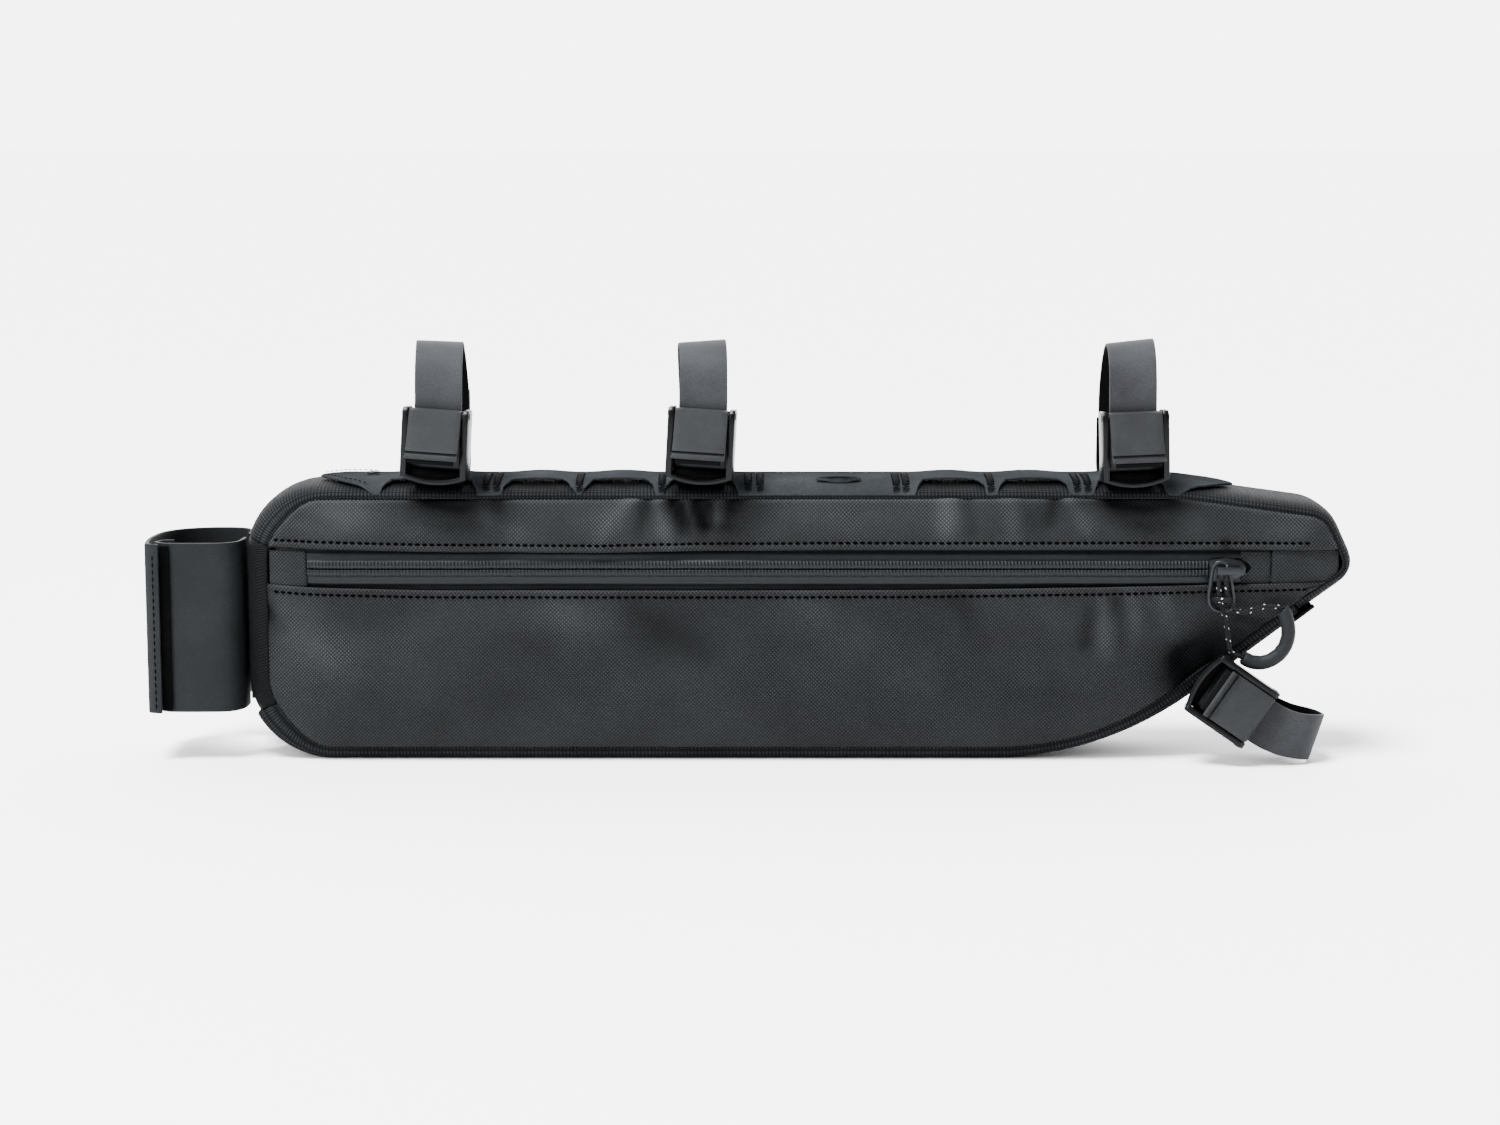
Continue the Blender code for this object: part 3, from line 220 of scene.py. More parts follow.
def tube(name, path, radius, sides, look, closed=False):
    """A round tube along points, with its UV map in metres along and round it."""
    rows, marks, run = [], [], 0.0
    side, count = Vector((0.0, 1.0, 0.0)), len(path)
    for i, here in enumerate(path):
        before = path[i - 1] if i or closed else here
        after = path[(i + 1) % count] if i + 1 < count or closed else here
        ahead = (after - before).normalized()
        side = side - ahead * side.dot(ahead)
        if side.length < 1e-6:
            side = ahead.orthogonal()
        side.normalize()
        up = ahead.cross(side)
        turns = [math.tau * k / sides for k in range(sides)]
        rows.append([here + (side * math.cos(a) + up * math.sin(a)) * radius for a in turns])
        run += (here - path[i - 1]).length if i else 0.0
        marks.append([(run, k / sides) for k in range(sides)])
    if closed:
        rows.append(rows[0])
        marks.append([(run, v) for _, v in marks[0]])
    made = cloth_mesh(name, rows, marks, look, closed=True)
    mesh = bmesh.new()
    mesh.from_mesh(made.data)
    if closed:
        bmesh.ops.remove_doubles(mesh, verts=mesh.verts, dist=1e-6)
    else:
        ends = [e for e in mesh.edges if e.is_boundary]
        bmesh.ops.holes_fill(mesh, edges=ends)
    bmesh.ops.recalc_face_normals(mesh, faces=mesh.faces)
    mesh.to_mesh(made.data)
    mesh.free()
    made.data.shade_smooth()
    return made


# Outline of the bag

END_ROLL, SLOPE_ROLL = 0.0055, 0.0022
TAB_WIDE, BAND_FROM_TOP, BAND_FROM_FLOOR = 0.0130, 0.0225, 0.0190


def seam_set(x, z, rise):
    """How far the seam lies inside the outline: more at the rolled end band and below the nose."""
    end = eased((-0.196 - x) / 0.032)
    slope = eased((x - 0.12) / 0.06) * eased(-rise * 4) * eased((0.080 - z) / 0.02)
    return SEAM_SET + END_ROLL * end + SLOPE_ROLL * slope


class Outline:
    """The side outline at the gusset's crown, from the lower left corner round by the nose."""

    def __init__(self):
        corner = [Vector(((a - 0.5) * LENGTH, u * HEIGHT)) for a, u, _ in OUTLINE]
        points, normals = [], []
        for i, (_, _, share) in enumerate(OUTLINE):
            here, radius = corner[i], share * HEIGHT
            arriving = (here - corner[i - 1]).normalized()
            leaving = (corner[(i + 1) % len(corner)] - here).normalized()
            turn = arriving.angle(leaving)
            inwards = Vector((-arriving.y, arriving.x)) * radius
            centre = here - arriving * radius * math.tan(turn / 2) + inwards
            start = math.atan2(-arriving.x, arriving.y)
            steps = max(1, math.ceil(turn / math.radians(3)))
            for k in range(steps + 1):
                angle = start + turn * k / steps
                normals.append((math.cos(angle), math.sin(angle)))
                points.append(centre + Vector(normals[-1]) * radius)
        points.append(points[0])
        normals.append(normals[0])
        self.points, self.normals = np.array(points), np.array(normals)
        steps = np.hypot(*np.diff(self.points, axis=0).T)
        self.runs = np.concatenate([[0.0], np.cumsum(steps)])
        self.length = float(self.runs[-1])

    def at(self, run):
        run %= self.length
        place = [np.interp(run, self.runs, self.points[:, k]) for k in (0, 1)]
        normal = Vector([np.interp(run, self.runs, self.normals[:, k]) for k in (0, 1)]).normalized()
        return Vector(place), normal

    def seam(self):
        """The line where the panels are sewn to the gusset."""
        sets = [seam_set(*place, rise) for place, (_, rise) in zip(self.points, self.normals)]
        return self.points - self.normals * np.array(sets)[:, None]

    def run_where(self, first, last, reached):
        steps = round(abs(last - first) / (MM / 2))
        for k in range(steps + 1):
            run = first + (last - first) * k / steps
            if reached(self.at(run)[0]):
                return run
        return last


outline = Outline()
SEAM = outline.seam()
RUN_NOSE = outline.run_where(outline.length * 0.30, outline.length, lambda p: p.y > 0.66 * HEIGHT)
RUN_TAB = RUN_NOSE - TAB_WIDE * 1.9
RUN_TOP_LEFT = outline.run_where(outline.length, outline.length * 0.6, lambda p: p.y > HEIGHT - BAND_FROM_TOP)
RUN_BAND_LOW = outline.run_where(outline.length * 1.03, outline.length * 0.9, lambda p: p.y > BAND_FROM_FLOOR)


def span(line, x):
    """The lowest and highest z of a closed line at x."""
    a, b = line[:-1], line[1:]
    first, last = a[:, 0], b[:, 0]
    passed = (np.minimum(first, last) <= x) & (x <= np.maximum(first, last)) & (abs(first - last) > 1e-9)
    a, b = a[passed], b[passed]
    found = a[:, 1] + (b[:, 1] - a[:, 1]) * (x - a[:, 0]) / (b[:, 0] - a[:, 0])
    return float(found.min()), float(found.max())


def seam_distance(x, z):
    """How far places on a panel are from the seam."""
    a, along = SEAM[:-1], np.diff(SEAM, axis=0)
    away = np.stack([x, z], -1)[..., None, :] - a
    share = np.clip((away * along).sum(-1) / np.maximum((along**2).sum(-1), 1e-12), 0, 1)
    return np.sqrt(((away - along * share[..., None]) ** 2).sum(-1)).min(-1)


def gusset_point(run, y, lift=0.0, section=TOP_SECTION):
    """A point over the gusset's outer face, at a run along the outline and a place across the bag."""
    point, normal = outline.at(run)
    place = point + normal * (lift - seam_set(*point, normal.y) * (1 - table(section, abs(y) / HALF)))
    return Vector((place.x, y, place.y))


def run_at_top(x):
    """The run along the outline at which the top is at x."""
    return outline.run_where(RUN_NOSE, RUN_TOP_LEFT, lambda p: p.x < x)


# Dents of the front: shares of length and height, depth, spread along and up
DENTS = (
    (0.178, 0.945, 0.0048, 0.024, 0.014),
    (0.236, 0.880, 0.0018, 0.010, 0.020),
    (0.412, 0.930, 0.0058, 0.022, 0.017),
    (0.806, 0.945, 0.0046, 0.024, 0.013),
    (0.300, 0.540, 0.0012, 0.030, 0.016),
    (0.520, 0.470, 0.0010, 0.050, 0.014),
    (0.730, 0.500, 0.0012, 0.014, 0.024),
    (0.860, 0.400, 0.0020, 0.022, 0.024),
)
# Folds of the front: from and to as places in the photograph, width in mm, rise in mm
FOLDS = (
    ((672, 496), (684, 534), 2.6, -2.0), ((700, 498), (708, 528), 2.2, -2.2),
    ((736, 498), (726, 526), 2.4, -1.8), ((686, 503), (696, 536), 2.0, 1.6),
    ((719, 500), (714, 536), 2.2, 1.7), ((633, 500), (600, 546), 3.6, 1.5),
    ((648, 502), (640, 538), 2.8, -1.5), ((657, 506), (672, 548), 3.0, 1.4),
    ((497, 505), (503, 534), 3.6, -1.3), ((478, 512), (520, 542), 3.6, 0.9),
    ((300, 519), (330, 527), 3.0, -0.9), ((262, 612), (278, 632), 3.0, -1.2),
    ((1058, 498), (1052, 526), 2.8, -1.7), ((1068, 500), (1090, 534), 2.8, 1.4),
    ((950, 500), (946, 540), 4.0, 1.1), ((968, 500), (972, 536), 3.0, -0.9),
    ((1010, 502), (1012, 540), 3.6, 0.9), ((1102, 600), (1108, 655), 3.6, 1.5),
    ((1132, 598), (1138, 640), 3.2, 1.2), ((1117, 602), (1123, 646), 3.0, -1.3),
    ((1088, 645), (1096, 602), 3.2, -1.3), ((960, 600), (985, 645), 5.0, -0.9),
    ((1165, 600), (1182, 645), 4.0, 1.1), ((1226, 543), (1230, 558), 1.2, -1.4),
    ((430, 498), (475, 512), 4.0, -1.6), ((1108, 498), (1150, 508), 4.0, -1.6),
    ((640, 612), (705, 655), 7.0, -0.8), ((560, 612), (625, 650), 7.0, 0.7),
    ((330, 660), (420, 640), 10.0, 0.8), ((1185, 655), (1222, 705), 6.0, -1.5),
    ((800, 610), (860, 640), 8.0, 0.6), ((1240, 617), (1280, 632), 1.8, -1.2),
    ((1258, 604), (1290, 615), 2.4, 0.9),
)


def fold_height(x, z):
    """What the folds add to the front at places in x and z."""
    rise = np.zeros(x.shape)
    for first, last, width, height in FOLDS:
        a, b = np.array(seen(*first)), np.array(seen(*last))
        along = b - a
        share = ((x - a[0]) * along[0] + (z - a[1]) * along[1]) / (along @ along)
        near = np.clip(share, 0, 1)
        away = np.hypot(x - a[0] - near * along[0], z - a[1] - near * along[1])
        rise += height * MM * np.exp(-((away / (width * MM)) ** 2)) * (1 - 0.5 * near)
    return rise


# Painted shade and painted highlight on the front: darker where shade falls under the buckles, along the
# seams and in hollows, paler where light catches ridges; place and spread as in the photograph, and strength,
# positive for shade and negative for highlight
PALE_GAIN, NEAR_PIXEL = 1.7, PIXEL * DISTANCE
SHADES = (
    (452, 501, 44, 15, 1.1), (430, 497, 30, 9, 0.8), (705, 502, 48, 17, 1.1), (698, 524, 20, 16, 0.7),
    (1135, 502, 46, 14, 1.1), (1166, 503, 26, 9, 0.7), (1197, 676, 30, 28, 1.5), (1214, 640, 20, 18, 0.6),
    (1222, 572, 26, 17, 0.55), (1262, 640, 26, 12, 0.7), (264, 622, 8, 36, 0.5), (1292, 604, 26, 8, 0.5),
    (600, 500, 20, 5, 0.5), (870, 498, 300, 3, 0.3), (1030, 520, 14, 16, 0.35), (335, 516, 56, 16, -0.45),
    (608, 524, 26, 20, -0.5), (664, 528, 9, 14, -0.5), (718, 520, 8, 12, -0.4), (840, 520, 60, 18, -0.25),
    (948, 522, 12, 18, -0.5), (1015, 525, 9, 16, -0.35), (1085, 520, 12, 14, -0.4), (1290, 530, 26, 16, -0.4),
    (1110, 625, 10, 22, -0.5), (1138, 615, 7, 16, -0.35), (300, 640, 36, 40, -0.25), (560, 620, 60, 16, -0.2),
    (640, 640, 50, 24, 0.3), (1300, 575, 24, 12, -0.25),
)


def front_painted_shading(x, z):
    """How much painted shade darkens the front at places in x and z; below zero, painted highlight makes it
    paler.
    """
    # painted shade in the folds' valleys and painted highlight on their ridges
    tone = np.clip(-0.45 * fold_height(x, z) / MM, -0.7, 0.6)
    for px, py, wide, high, strength in SHADES:
        at_x, at_z = seen(px, py)
        away = ((x - at_x) / (wide * NEAR_PIXEL)) ** 2 + ((z - at_z) / (high * NEAR_PIXEL)) ** 2
        tone += strength * (1.0 if strength > 0 else PALE_GAIN) * np.exp(-away)
    # painted highlight: a thin pale line along the turned edge at the top
    tone -= 1.0 * np.exp(-((seam_distance(x, z) / (1.4 * MM)) ** 2)) * (z > 0.085)
    return np.clip(tone, -1.1, 0.97)


def face_depth(x, z, bulge=FRONT_BULGE, dents=DENTS):
    """How far a panel's outer face stands from the bag's middle plane."""
    roll = np.minimum(1.0, seam_distance(x, z) / EDGE_ROLL)
    depth = HALF + bulge * (1 - (1 - roll) ** 2.4)
    for along, up, dent, spread_along, spread_up in dents:
        away = ((x - (along - 0.5) * LENGTH) / spread_along) ** 2 + ((z - up * HEIGHT) / spread_up) ** 2
        depth -= dent * np.exp(-away) * np.minimum(1.0, roll * 3)
    return depth


# Half the zip's opening, an x near its end in the nose, and its edges: x, and how far from straight in mm
ZIP_HALF, NOSE_X = 0.0078, 0.23
ZIP_TOP = (
    (-0.24, 1.0), (-0.213, 0.9), (-0.155, -0.7), (-0.085, -0.9), (0.01, 0.2), (0.19, 0.1), (0.24, -0.4),
)
ZIP_BOTTOM = (
    (-0.24, 1.6), (-0.20, 0.3), (-0.155, -0.7), (-0.08, -0.9), (0.045, -0.6), (0.11, 0.2), (0.18, 1.7),
    (0.24, 2.0),
)


def zip_edge(x, way):
    """The height of the opening's upper or lower edge at x."""
    return ZIP + way * ZIP_HALF + table(ZIP_TOP if way > 0 else ZIP_BOTTOM, x) * MM


# Materials


def surface(name, colour, roughness, specular):
    """A material with its shader's plain values set."""
    made = bpy.data.materials.new(name)
    made.use_nodes = True
    shader = made.node_tree.nodes["Principled BSDF"]
    shader.inputs["Base Color"].default_value = linear(colour)
    shader.inputs["Roughness"].default_value = roughness
    shader.inputs["Specular IOR Level"].default_value = specular
    # the room comes back a little cool from black cloth and plastic
    shader.inputs["Specular Tint"].default_value = linear("#dde4ea")
    return made, made.node_tree, shader


def finished(tree, shader, colours, reach, tone, uneven, gloss, height, relief):
    """Gives a shader its gloss and its bumps, and returns the colour, dark to pale as the tone rises."""
    ramp = add(tree, "ValToRGB", {"Fac": tone})
    dark, pale = ramp.color_ramp.elements
    dark.color, pale.color = linear(colours[0]), linear(colours[2])
    dark.position, pale.position = reach
    ramp.color_ramp.elements.new(0.5).color = linear(colours[1])
    shine = add(tree, "MapRange", {"Value": uneven, "To Min": gloss[0], "To Max": gloss[1]})
    tree.links.new(shine.outputs[0], shader.inputs["Roughness"])
    bump = add(tree, "Bump", {"Height": height, "Distance": relief, "Strength": 1.0})
    tree.links.new(bump.outputs[0], shader.inputs["Normal"])
    return ramp.outputs["Color"]


def textured(name, colours, roughness, specular, pitch, turn, relief, ribs=False):
    """A cloth: threads a pitch apart across each other, or ribs one way, with uneven colour and gloss.

    The pitch and the relief, which is the height of the threads, are in metres.
    """
    made, tree, shader = surface(name, colours[1], roughness, specular)
    place = add(tree, "TexCoord").outputs["UV"]
    turned = add(tree, "Mapping", {"Vector": place, "Rotation": (0.0, 0.0, turn)}).outputs["Vector"]
    split = add(tree, "SeparateXYZ", {"Vector": turned})
    waves = []
    for axis in ("X",) if ribs else ("X", "Y"):
        across = split.outputs[axis]
        angle = add(tree, "Math", {0: across, 1: math.pi / pitch}, operation="MULTIPLY").outputs[0]
        wave = add(tree, "Math", {0: angle}, operation="SINE").outputs[0]
        waves.append(add(tree, "Math", {0: wave}, operation="ABSOLUTE").outputs[0])
    threads = waves[0]
    if not ribs:
        threads = add(tree, "Math", {0: waves[0], 1: waves[1]}, operation="MULTIPLY").outputs[0]
    # cloudy patches 45 mm across, and a grain of a millimetre
    clouds = {"Vector": place, "Scale": 22.0, "Detail": 5.0, "Roughness": 0.6}
    uneven = add(tree, "TexNoise", clouds).outputs[0]
    grain = add(tree, "TexNoise", {"Vector": place, "Scale": 900.0, "Detail": 2.0}).outputs[0]
    tone = add(tree, "Math", {0: threads, 1: 0.55, 2: 0.03}, operation="MULTIPLY_ADD").outputs[0]
    tone = add(tree, "Math", {0: uneven, 1: 0.55, 2: tone}, operation="MULTIPLY_ADD").outputs[0]
    height = add(tree, "Math", {0: grain, 1: 0.22, 2: threads}, operation="MULTIPLY_ADD").outputs[0]
    gloss = (roughness - 0.07, roughness + 0.08)
    colour = finished(tree, shader, colours, (0.18, 0.86), tone, uneven, gloss, height, relief)
    # the painted shade stored on the piece darkens the colour, and its painted highlight pales it
    painted_shading = add(tree, "Attribute", attribute_name="painted_shading").outputs["Fac"]
    light = add(tree, "Math", {0: 1.0, 1: painted_shading}, operation="SUBTRACT").outputs[0]
    shaded = add(tree, "VectorMath", {0: colour, "Scale": light}, operation="SCALE").outputs[0]
    tree.links.new(shaded, shader.inputs["Base Color"])
    return made


def plain(name, colours, roughness, specular, grain, relief):
    """A coated or moulded surface: fine grain to the metre, its height in metres, uneven colour and gloss."""
    made, tree, shader = surface(name, colours[1], roughness, specular)
    place = add(tree, "TexCoord").outputs["Object"]
    uneven = add(tree, "TexNoise", {"Vector": place, "Scale": 40.0, "Detail": 4.0}).outputs[0]
    specks = {"Vector": place, "Scale": grain, "Detail": 3.0, "Roughness": 0.7}
    fine = add(tree, "TexNoise", specks).outputs[0]
    tone = add(tree, "Math", {0: fine, 1: 0.45, 2: 0.0}, operation="MULTIPLY_ADD").outputs[0]
    tone = add(tree, "Math", {0: uneven, 1: 0.55, 2: tone}, operation="MULTIPLY_ADD").outputs[0]
    gloss = (roughness - 0.05, roughness + 0.06)
    colour = finished(tree, shader, colours, (0.32, 0.68), tone, uneven, gloss, fine, relief)
    tree.links.new(colour, shader.inputs["Base Color"])
    return made


# Coated packcloth: a dobby weave set slantwise under a satin coat, so that light catches the crossings.
# Its real pitch is 0.95 mm, drawn a little coarser so that it shows.
COATED = textured(
    "coated_packcloth", ("#080809", "#131415", "#232526"), 0.44, 0.05, 1.15 * MM, math.radians(45), 0.00018,
)
# Black gusset cloth: coarse plain weave, matte, with its rows along the seam
GUSSET_CLOTH = textured(
    "woven_gusset_cloth", ("#060607", "#0d0e0f", "#1e2022"), 0.6, 0.02, 1.5 * MM, 0.0, 0.0004,
)
# End band: webbing with slanting ribs a millimetre apart
RIBBED = textured(
    "twill_webbing", ("#010101", "#040404", "#0e0f10"), 0.6, 0.03, 1.05 * MM, math.radians(35), 0.00025,
    ribs=True,
)
# Binding and strap bases: flat black webbing, ribs across
WEBBING = textured(
    "woven_webbing", ("#030303", "#060607", "#111213"), 0.7, 0.02, 1.2 * MM, 0.0, 0.00018, ribs=True,
)
# Rail: coated cloth cut with a hot knife, smoother than the front
RAIL_CLOTH = plain("coated_rail", ("#191b1c", "#202224", "#2a2c2e"), 0.55, 0.0, 900.0, 0.00006)
# Cut edge of coated cloth: paler and dull
CUT_EDGE = plain("cut_edge", ("#1a1c1d", "#202224", "#282a2c"), 0.7, 0.0, 900.0, 0.00004)
# Strap: coated webbing, slate grey, dull satin
STRAP = plain("coated_strap", ("#1d1e20", "#262729", "#2e3032"), 0.6, 0.06, 1400.0, 0.00006)
# Strap's inner side: bare black webbing
STRAP_BACK = plain("strap_back", ("#010101", "#020202", "#050505"), 0.7, 0.06, 1400.0, 0.00005)
# Buckle frame: injection moulded acetal, satin black
ACETAL = plain("moulded_acetal", ("#020202", "#040404", "#070708"), 0.3, 0.13, 1500.0, 0.00002)
# Lever: spark eroded mould, slate grey, fine grain
LEVER = plain("spark_eroded_lever", ("#18191a", "#1f2021", "#262829"), 0.5, 0.08, 2200.0, 0.00006)
# Slider and ring: zinc casting, dark coated
ZINC = plain("coated_zinc", ("#08090a", "#0e0f11", "#16181a"), 0.3, 0.22, 900.0, 0.00002)
# Bridge: the same coated casting, a little paler than the slider's body
BRIDGE = plain("paler_bridge", ("#0a0b0d", "#101214", "#181a1d"), 0.36, 0.2, 900.0, 0.00002)
# Grip: extruded rubber, grey and dull
RUBBER = plain("extruded_rubber", ("#0e0f10", "#141516", "#1b1c1e"), 0.62, 0.12, 700.0, 0.00006)
# Wrap: laminated cloth, fine and matte
WRAP = plain("laminated_wrap", ("#0a0b0c", "#0f1112", "#16181a"), 0.62, 0.12, 1100.0, 0.0001)
# Painted shadow of the garage's mouth: a black, dull sheet over the garage cloth
MOUTH_SHADOW = plain("painted_mouth_shadow", ("#000000", "#020202", "#040404"), 0.8, 0.02, 900.0, 0.00004)
# Hook tape: black, with short stiff hooks
HOOKS = plain("hook_tape", ("#000000", "#010101", "#050505"), 0.9, 0.04, 600.0, 0.0004)
# Thread: bonded nylon, black
THREAD = plain("bonded_thread", ("#000000", "#000000", "#010101"), 0.6, 0.01, 900.0, 0.00004)
# Bar tacks: heavy thread, black with a dull shine
TACK_THREAD = plain("heavy_thread", ("#020202", "#060607", "#0d0e0f"), 0.6, 0.04, 900.0, 0.00004)
# Badge: pressed foil, blank, a little lighter than the rail
BADGE = plain("blank_badge", ("#0c0d0e", "#121315", "#191b1c"), 0.5, 0.0, 900.0, 0.00004)
# Eyelet: painted brass
EYELET = plain("painted_eyelet", ("#020202", "#050505", "#0a0a0b"), 0.3, 0.3, 900.0, 0.00002)


def braided_cord():
    """Black braid with pairs of slanted reflective flecks every 5.6 mm."""
    made, tree, shader = surface("flecked_braid", "#060607", 0.7, 0.15)
    split = add(tree, "SeparateXYZ", {"Vector": add(tree, "TexCoord").outputs["UV"]})
    along = add(tree, "Math", {0: split.outputs["X"], 1: 1 / (5.6 * MM)}, operation="MULTIPLY").outputs[0]
    slant = add(tree, "Math", {0: split.outputs["Y"], 1: 0.5, 2: along}, operation="MULTIPLY_ADD").outputs[0]
    part = add(tree, "Math", {0: slant}, operation="FRACT").outputs[0]
    short = add(tree, "Math", {0: part, 1: 0.11}, operation="LESS_THAN").outputs[0]
    round_it = add(tree, "Math", {0: split.outputs["Y"], 1: 3.0}, operation="MULTIPLY").outputs[0]
    round_it = add(tree, "Math", {0: round_it}, operation="FRACT").outputs[0]
    narrow = add(tree, "Math", {0: round_it, 1: 0.28}, operation="LESS_THAN").outputs[0]
    fleck = add(tree, "Math", {0: short, 1: narrow}, operation="MULTIPLY").outputs[0]
    ramp = add(tree, "ValToRGB", {"Fac": fleck})
    dark, pale = ramp.color_ramp.elements
    dark.color, pale.color = linear("#050506"), linear("#b9bcbe")
    tree.links.new(ramp.outputs["Color"], shader.inputs["Base Color"])
    braid = add(tree, "Math", {0: slant, 1: math.tau * 6}, operation="MULTIPLY").outputs[0]
    braid = add(tree, "Math", {0: braid}, operation="SINE").outputs[0]
    bump = add(tree, "Bump", {"Height": braid, "Distance": 0.0001, "Strength": 1.0})
    tree.links.new(bump.outputs[0], shader.inputs["Normal"])
    return made


def coil_film():
    """Matt film over the zip's coil, whose turns stand through it beside the slit."""
    made, tree, shader = surface("zip_coil_film", "#0d0e0f", 0.4, 0.16)
    place = add(tree, "TexCoord").outputs["UV"]
    split = add(tree, "SeparateXYZ", {"Vector": place})
    # the coil's turns are 1.45 mm apart, and show from the slit to 3 mm beside it
    along = split.outputs["X"]
    turns = add(tree, "Math", {0: along, 1: math.tau / (1.45 * MM)}, operation="MULTIPLY").outputs[0]
    turns = add(tree, "Math", {0: turns}, operation="SINE").outputs[0]
    beside = add(tree, "Math", {0: split.outputs["Y"]}, operation="ABSOLUTE").outputs[0]
    limits = {"From Min": 2.7 * MM, "From Max": 3.4 * MM, "To Min": 1.0, "To Max": 0.0}
    shown = add(tree, "MapRange", {"Value": beside, **limits}).outputs[0]
    grain = add(tree, "TexNoise", {"Vector": place, "Scale": 260.0, "Detail": 4.0}).outputs[0]
    ribs = add(tree, "Math", {0: turns, 1: shown}, operation="MULTIPLY").outputs[0]
    height = add(tree, "Math", {0: grain, 1: 0.12, 2: ribs}, operation="MULTIPLY_ADD").outputs[0]
    bump = add(tree, "Bump", {"Height": height, "Distance": 0.00015, "Strength": 1.0})
    tree.links.new(bump.outputs[0], shader.inputs["Normal"])
    tone = add(tree, "Math", {0: ribs, 1: 0.2, 2: 0.5}, operation="MULTIPLY_ADD").outputs[0]
    tone = add(tree, "Math", {0: grain, 1: 0.12, 2: tone}, operation="MULTIPLY_ADD").outputs[0]
    ramp = add(tree, "ValToRGB", {"Fac": tone})
    dark, pale = ramp.color_ramp.elements
    dark.color, pale.color = linear("#050606"), linear("#15171a")
    dark.position, pale.position = 0.35, 0.9
    tree.links.new(ramp.outputs["Color"], shader.inputs["Base Color"])
    return made


CORD, COIL_FILM = braided_cord(), coil_film()


# Camera and light


def place_camera():
    """The camera at the photograph's angle and distance."""
    data = bpy.data.cameras.new("photo_camera")
    data.sensor_width = 36.0
    data.lens = data.sensor_width / (PHOTO_WIDE * PIXEL)
    data.clip_start = 0.05
    camera = bpy.data.objects.new("photo_camera", data)
    bpy.context.scene.collection.objects.link(camera)
    camera.location = TARGET + Vector((0.0, -math.cos(ELEVATION), math.sin(ELEVATION))) * DISTANCE
    camera.rotation_euler = (math.pi / 2 - ELEVATION, 0.0, 0.0)
    bpy.context.scene.camera = camera


def place_lamp(name, kind, power):
    """A lamp in the scene, and its settings."""
    data = bpy.data.lights.new(name, kind)
    data.energy = power
    lamp = bpy.data.objects.new(name, data)
    bpy.context.scene.collection.objects.link(lamp)
    return lamp, data


def studio():
    """Pale floor, soft light from above, and a room white behind the bag and dimmer behind the camera."""
    paper, _, _ = surface("painted_board", "#f2f2f3", 0.9, 0.1)
    bpy.ops.object.select_all(action="DESELECT")
    bpy.ops.mesh.primitive_plane_add(size=40.0, location=(0, 0, 0))
    floor = bpy.context.object
    floor.name = "studio_floor"
    floor.data.materials.append(paper)
    world = bpy.data.worlds.new("studio_room")
    bpy.context.scene.world = world
    world.use_nodes = True
    tree = world.node_tree
    way = add(tree, "SeparateXYZ", {"Vector": add(tree, "TexCoord").outputs["Generated"]}).outputs["Y"]
    strengths = {"From Min": -0.2, "From Max": 0.8, "To Min": 0.4, "To Max": 6.5}
    bright = add(tree, "MapRange", {"Value": way, **strengths})
    room = tree.nodes["Background"]
    room.inputs["Color"].default_value = linear("#fafafb")
    tree.links.new(bright.outputs[0], room.inputs["Strength"])
    lamp, silk = place_lamp("overhead_silk", "SUN", 15.0)
    silk.angle = math.radians(24)
    lamp.rotation_euler = Vector((-0.30, -0.24, 1.0)).to_track_quat("Z", "Y").to_euler()
    lamp, box = place_lamp("softbox_left", "AREA", 34.0)
    box.shape, box.size = "SQUARE", 0.9
    lamp.location = (-1.1, -1.1, 0.9)
    lamp.rotation_euler = (lamp.location - Vector((0, 0, 0.06))).to_track_quat("Z", "Y").to_euler()


# Pull cord

CORD_WIDE, GRIP_WIDE, GRIP_WALL = 0.0020, 0.0062, 0.00145
# The cord's route, as in the part: x, z and distance in front of the middle plane
CORD_ROUTE = (
    (0.1740, 0.0790, 0.0353), (0.1740, 0.0765, 0.0354), (0.1741, 0.0735, 0.0355), (0.1746, 0.0700, 0.0356),
    (0.1756, 0.0665, 0.0357), (0.1766, 0.0635, 0.0355), (0.1777, 0.0590, 0.0344), (0.1788, 0.0530, 0.0336),
    (0.1800, 0.0480, 0.0334), (0.1848, 0.0455, 0.0333), (0.1890, 0.0436, 0.0331), (0.1940, 0.0434, 0.0330),
    (0.1990, 0.0458, 0.0330), (0.2024, 0.0500, 0.0330), (0.2038, 0.0555, 0.0330), (0.2030, 0.0612, 0.0330),
    (0.2008, 0.0658, 0.0330), (0.1970, 0.0671, 0.0331), (0.1930, 0.0669, 0.0333), (0.1892, 0.0659, 0.0337),
    (0.1860, 0.0649, 0.0343), (0.1832, 0.0650, 0.0350), (0.1811, 0.0662, 0.0356), (0.1795, 0.0683, 0.0357),
    (0.1780, 0.0708, 0.0357), (0.1773, 0.0740, 0.0356), (0.1771, 0.0765, 0.0354), (0.1770, 0.0790, 0.0353),
)
# Where on the route the grip starts and ends, and the place of the band at the ring in the photograph
GRIP_ENDS, CORD_BAND = (9, 16), (1223, 600)
# The grip's radius at its first rings, as a share
GRIP_START = (0.90, 0.97, 1.0)


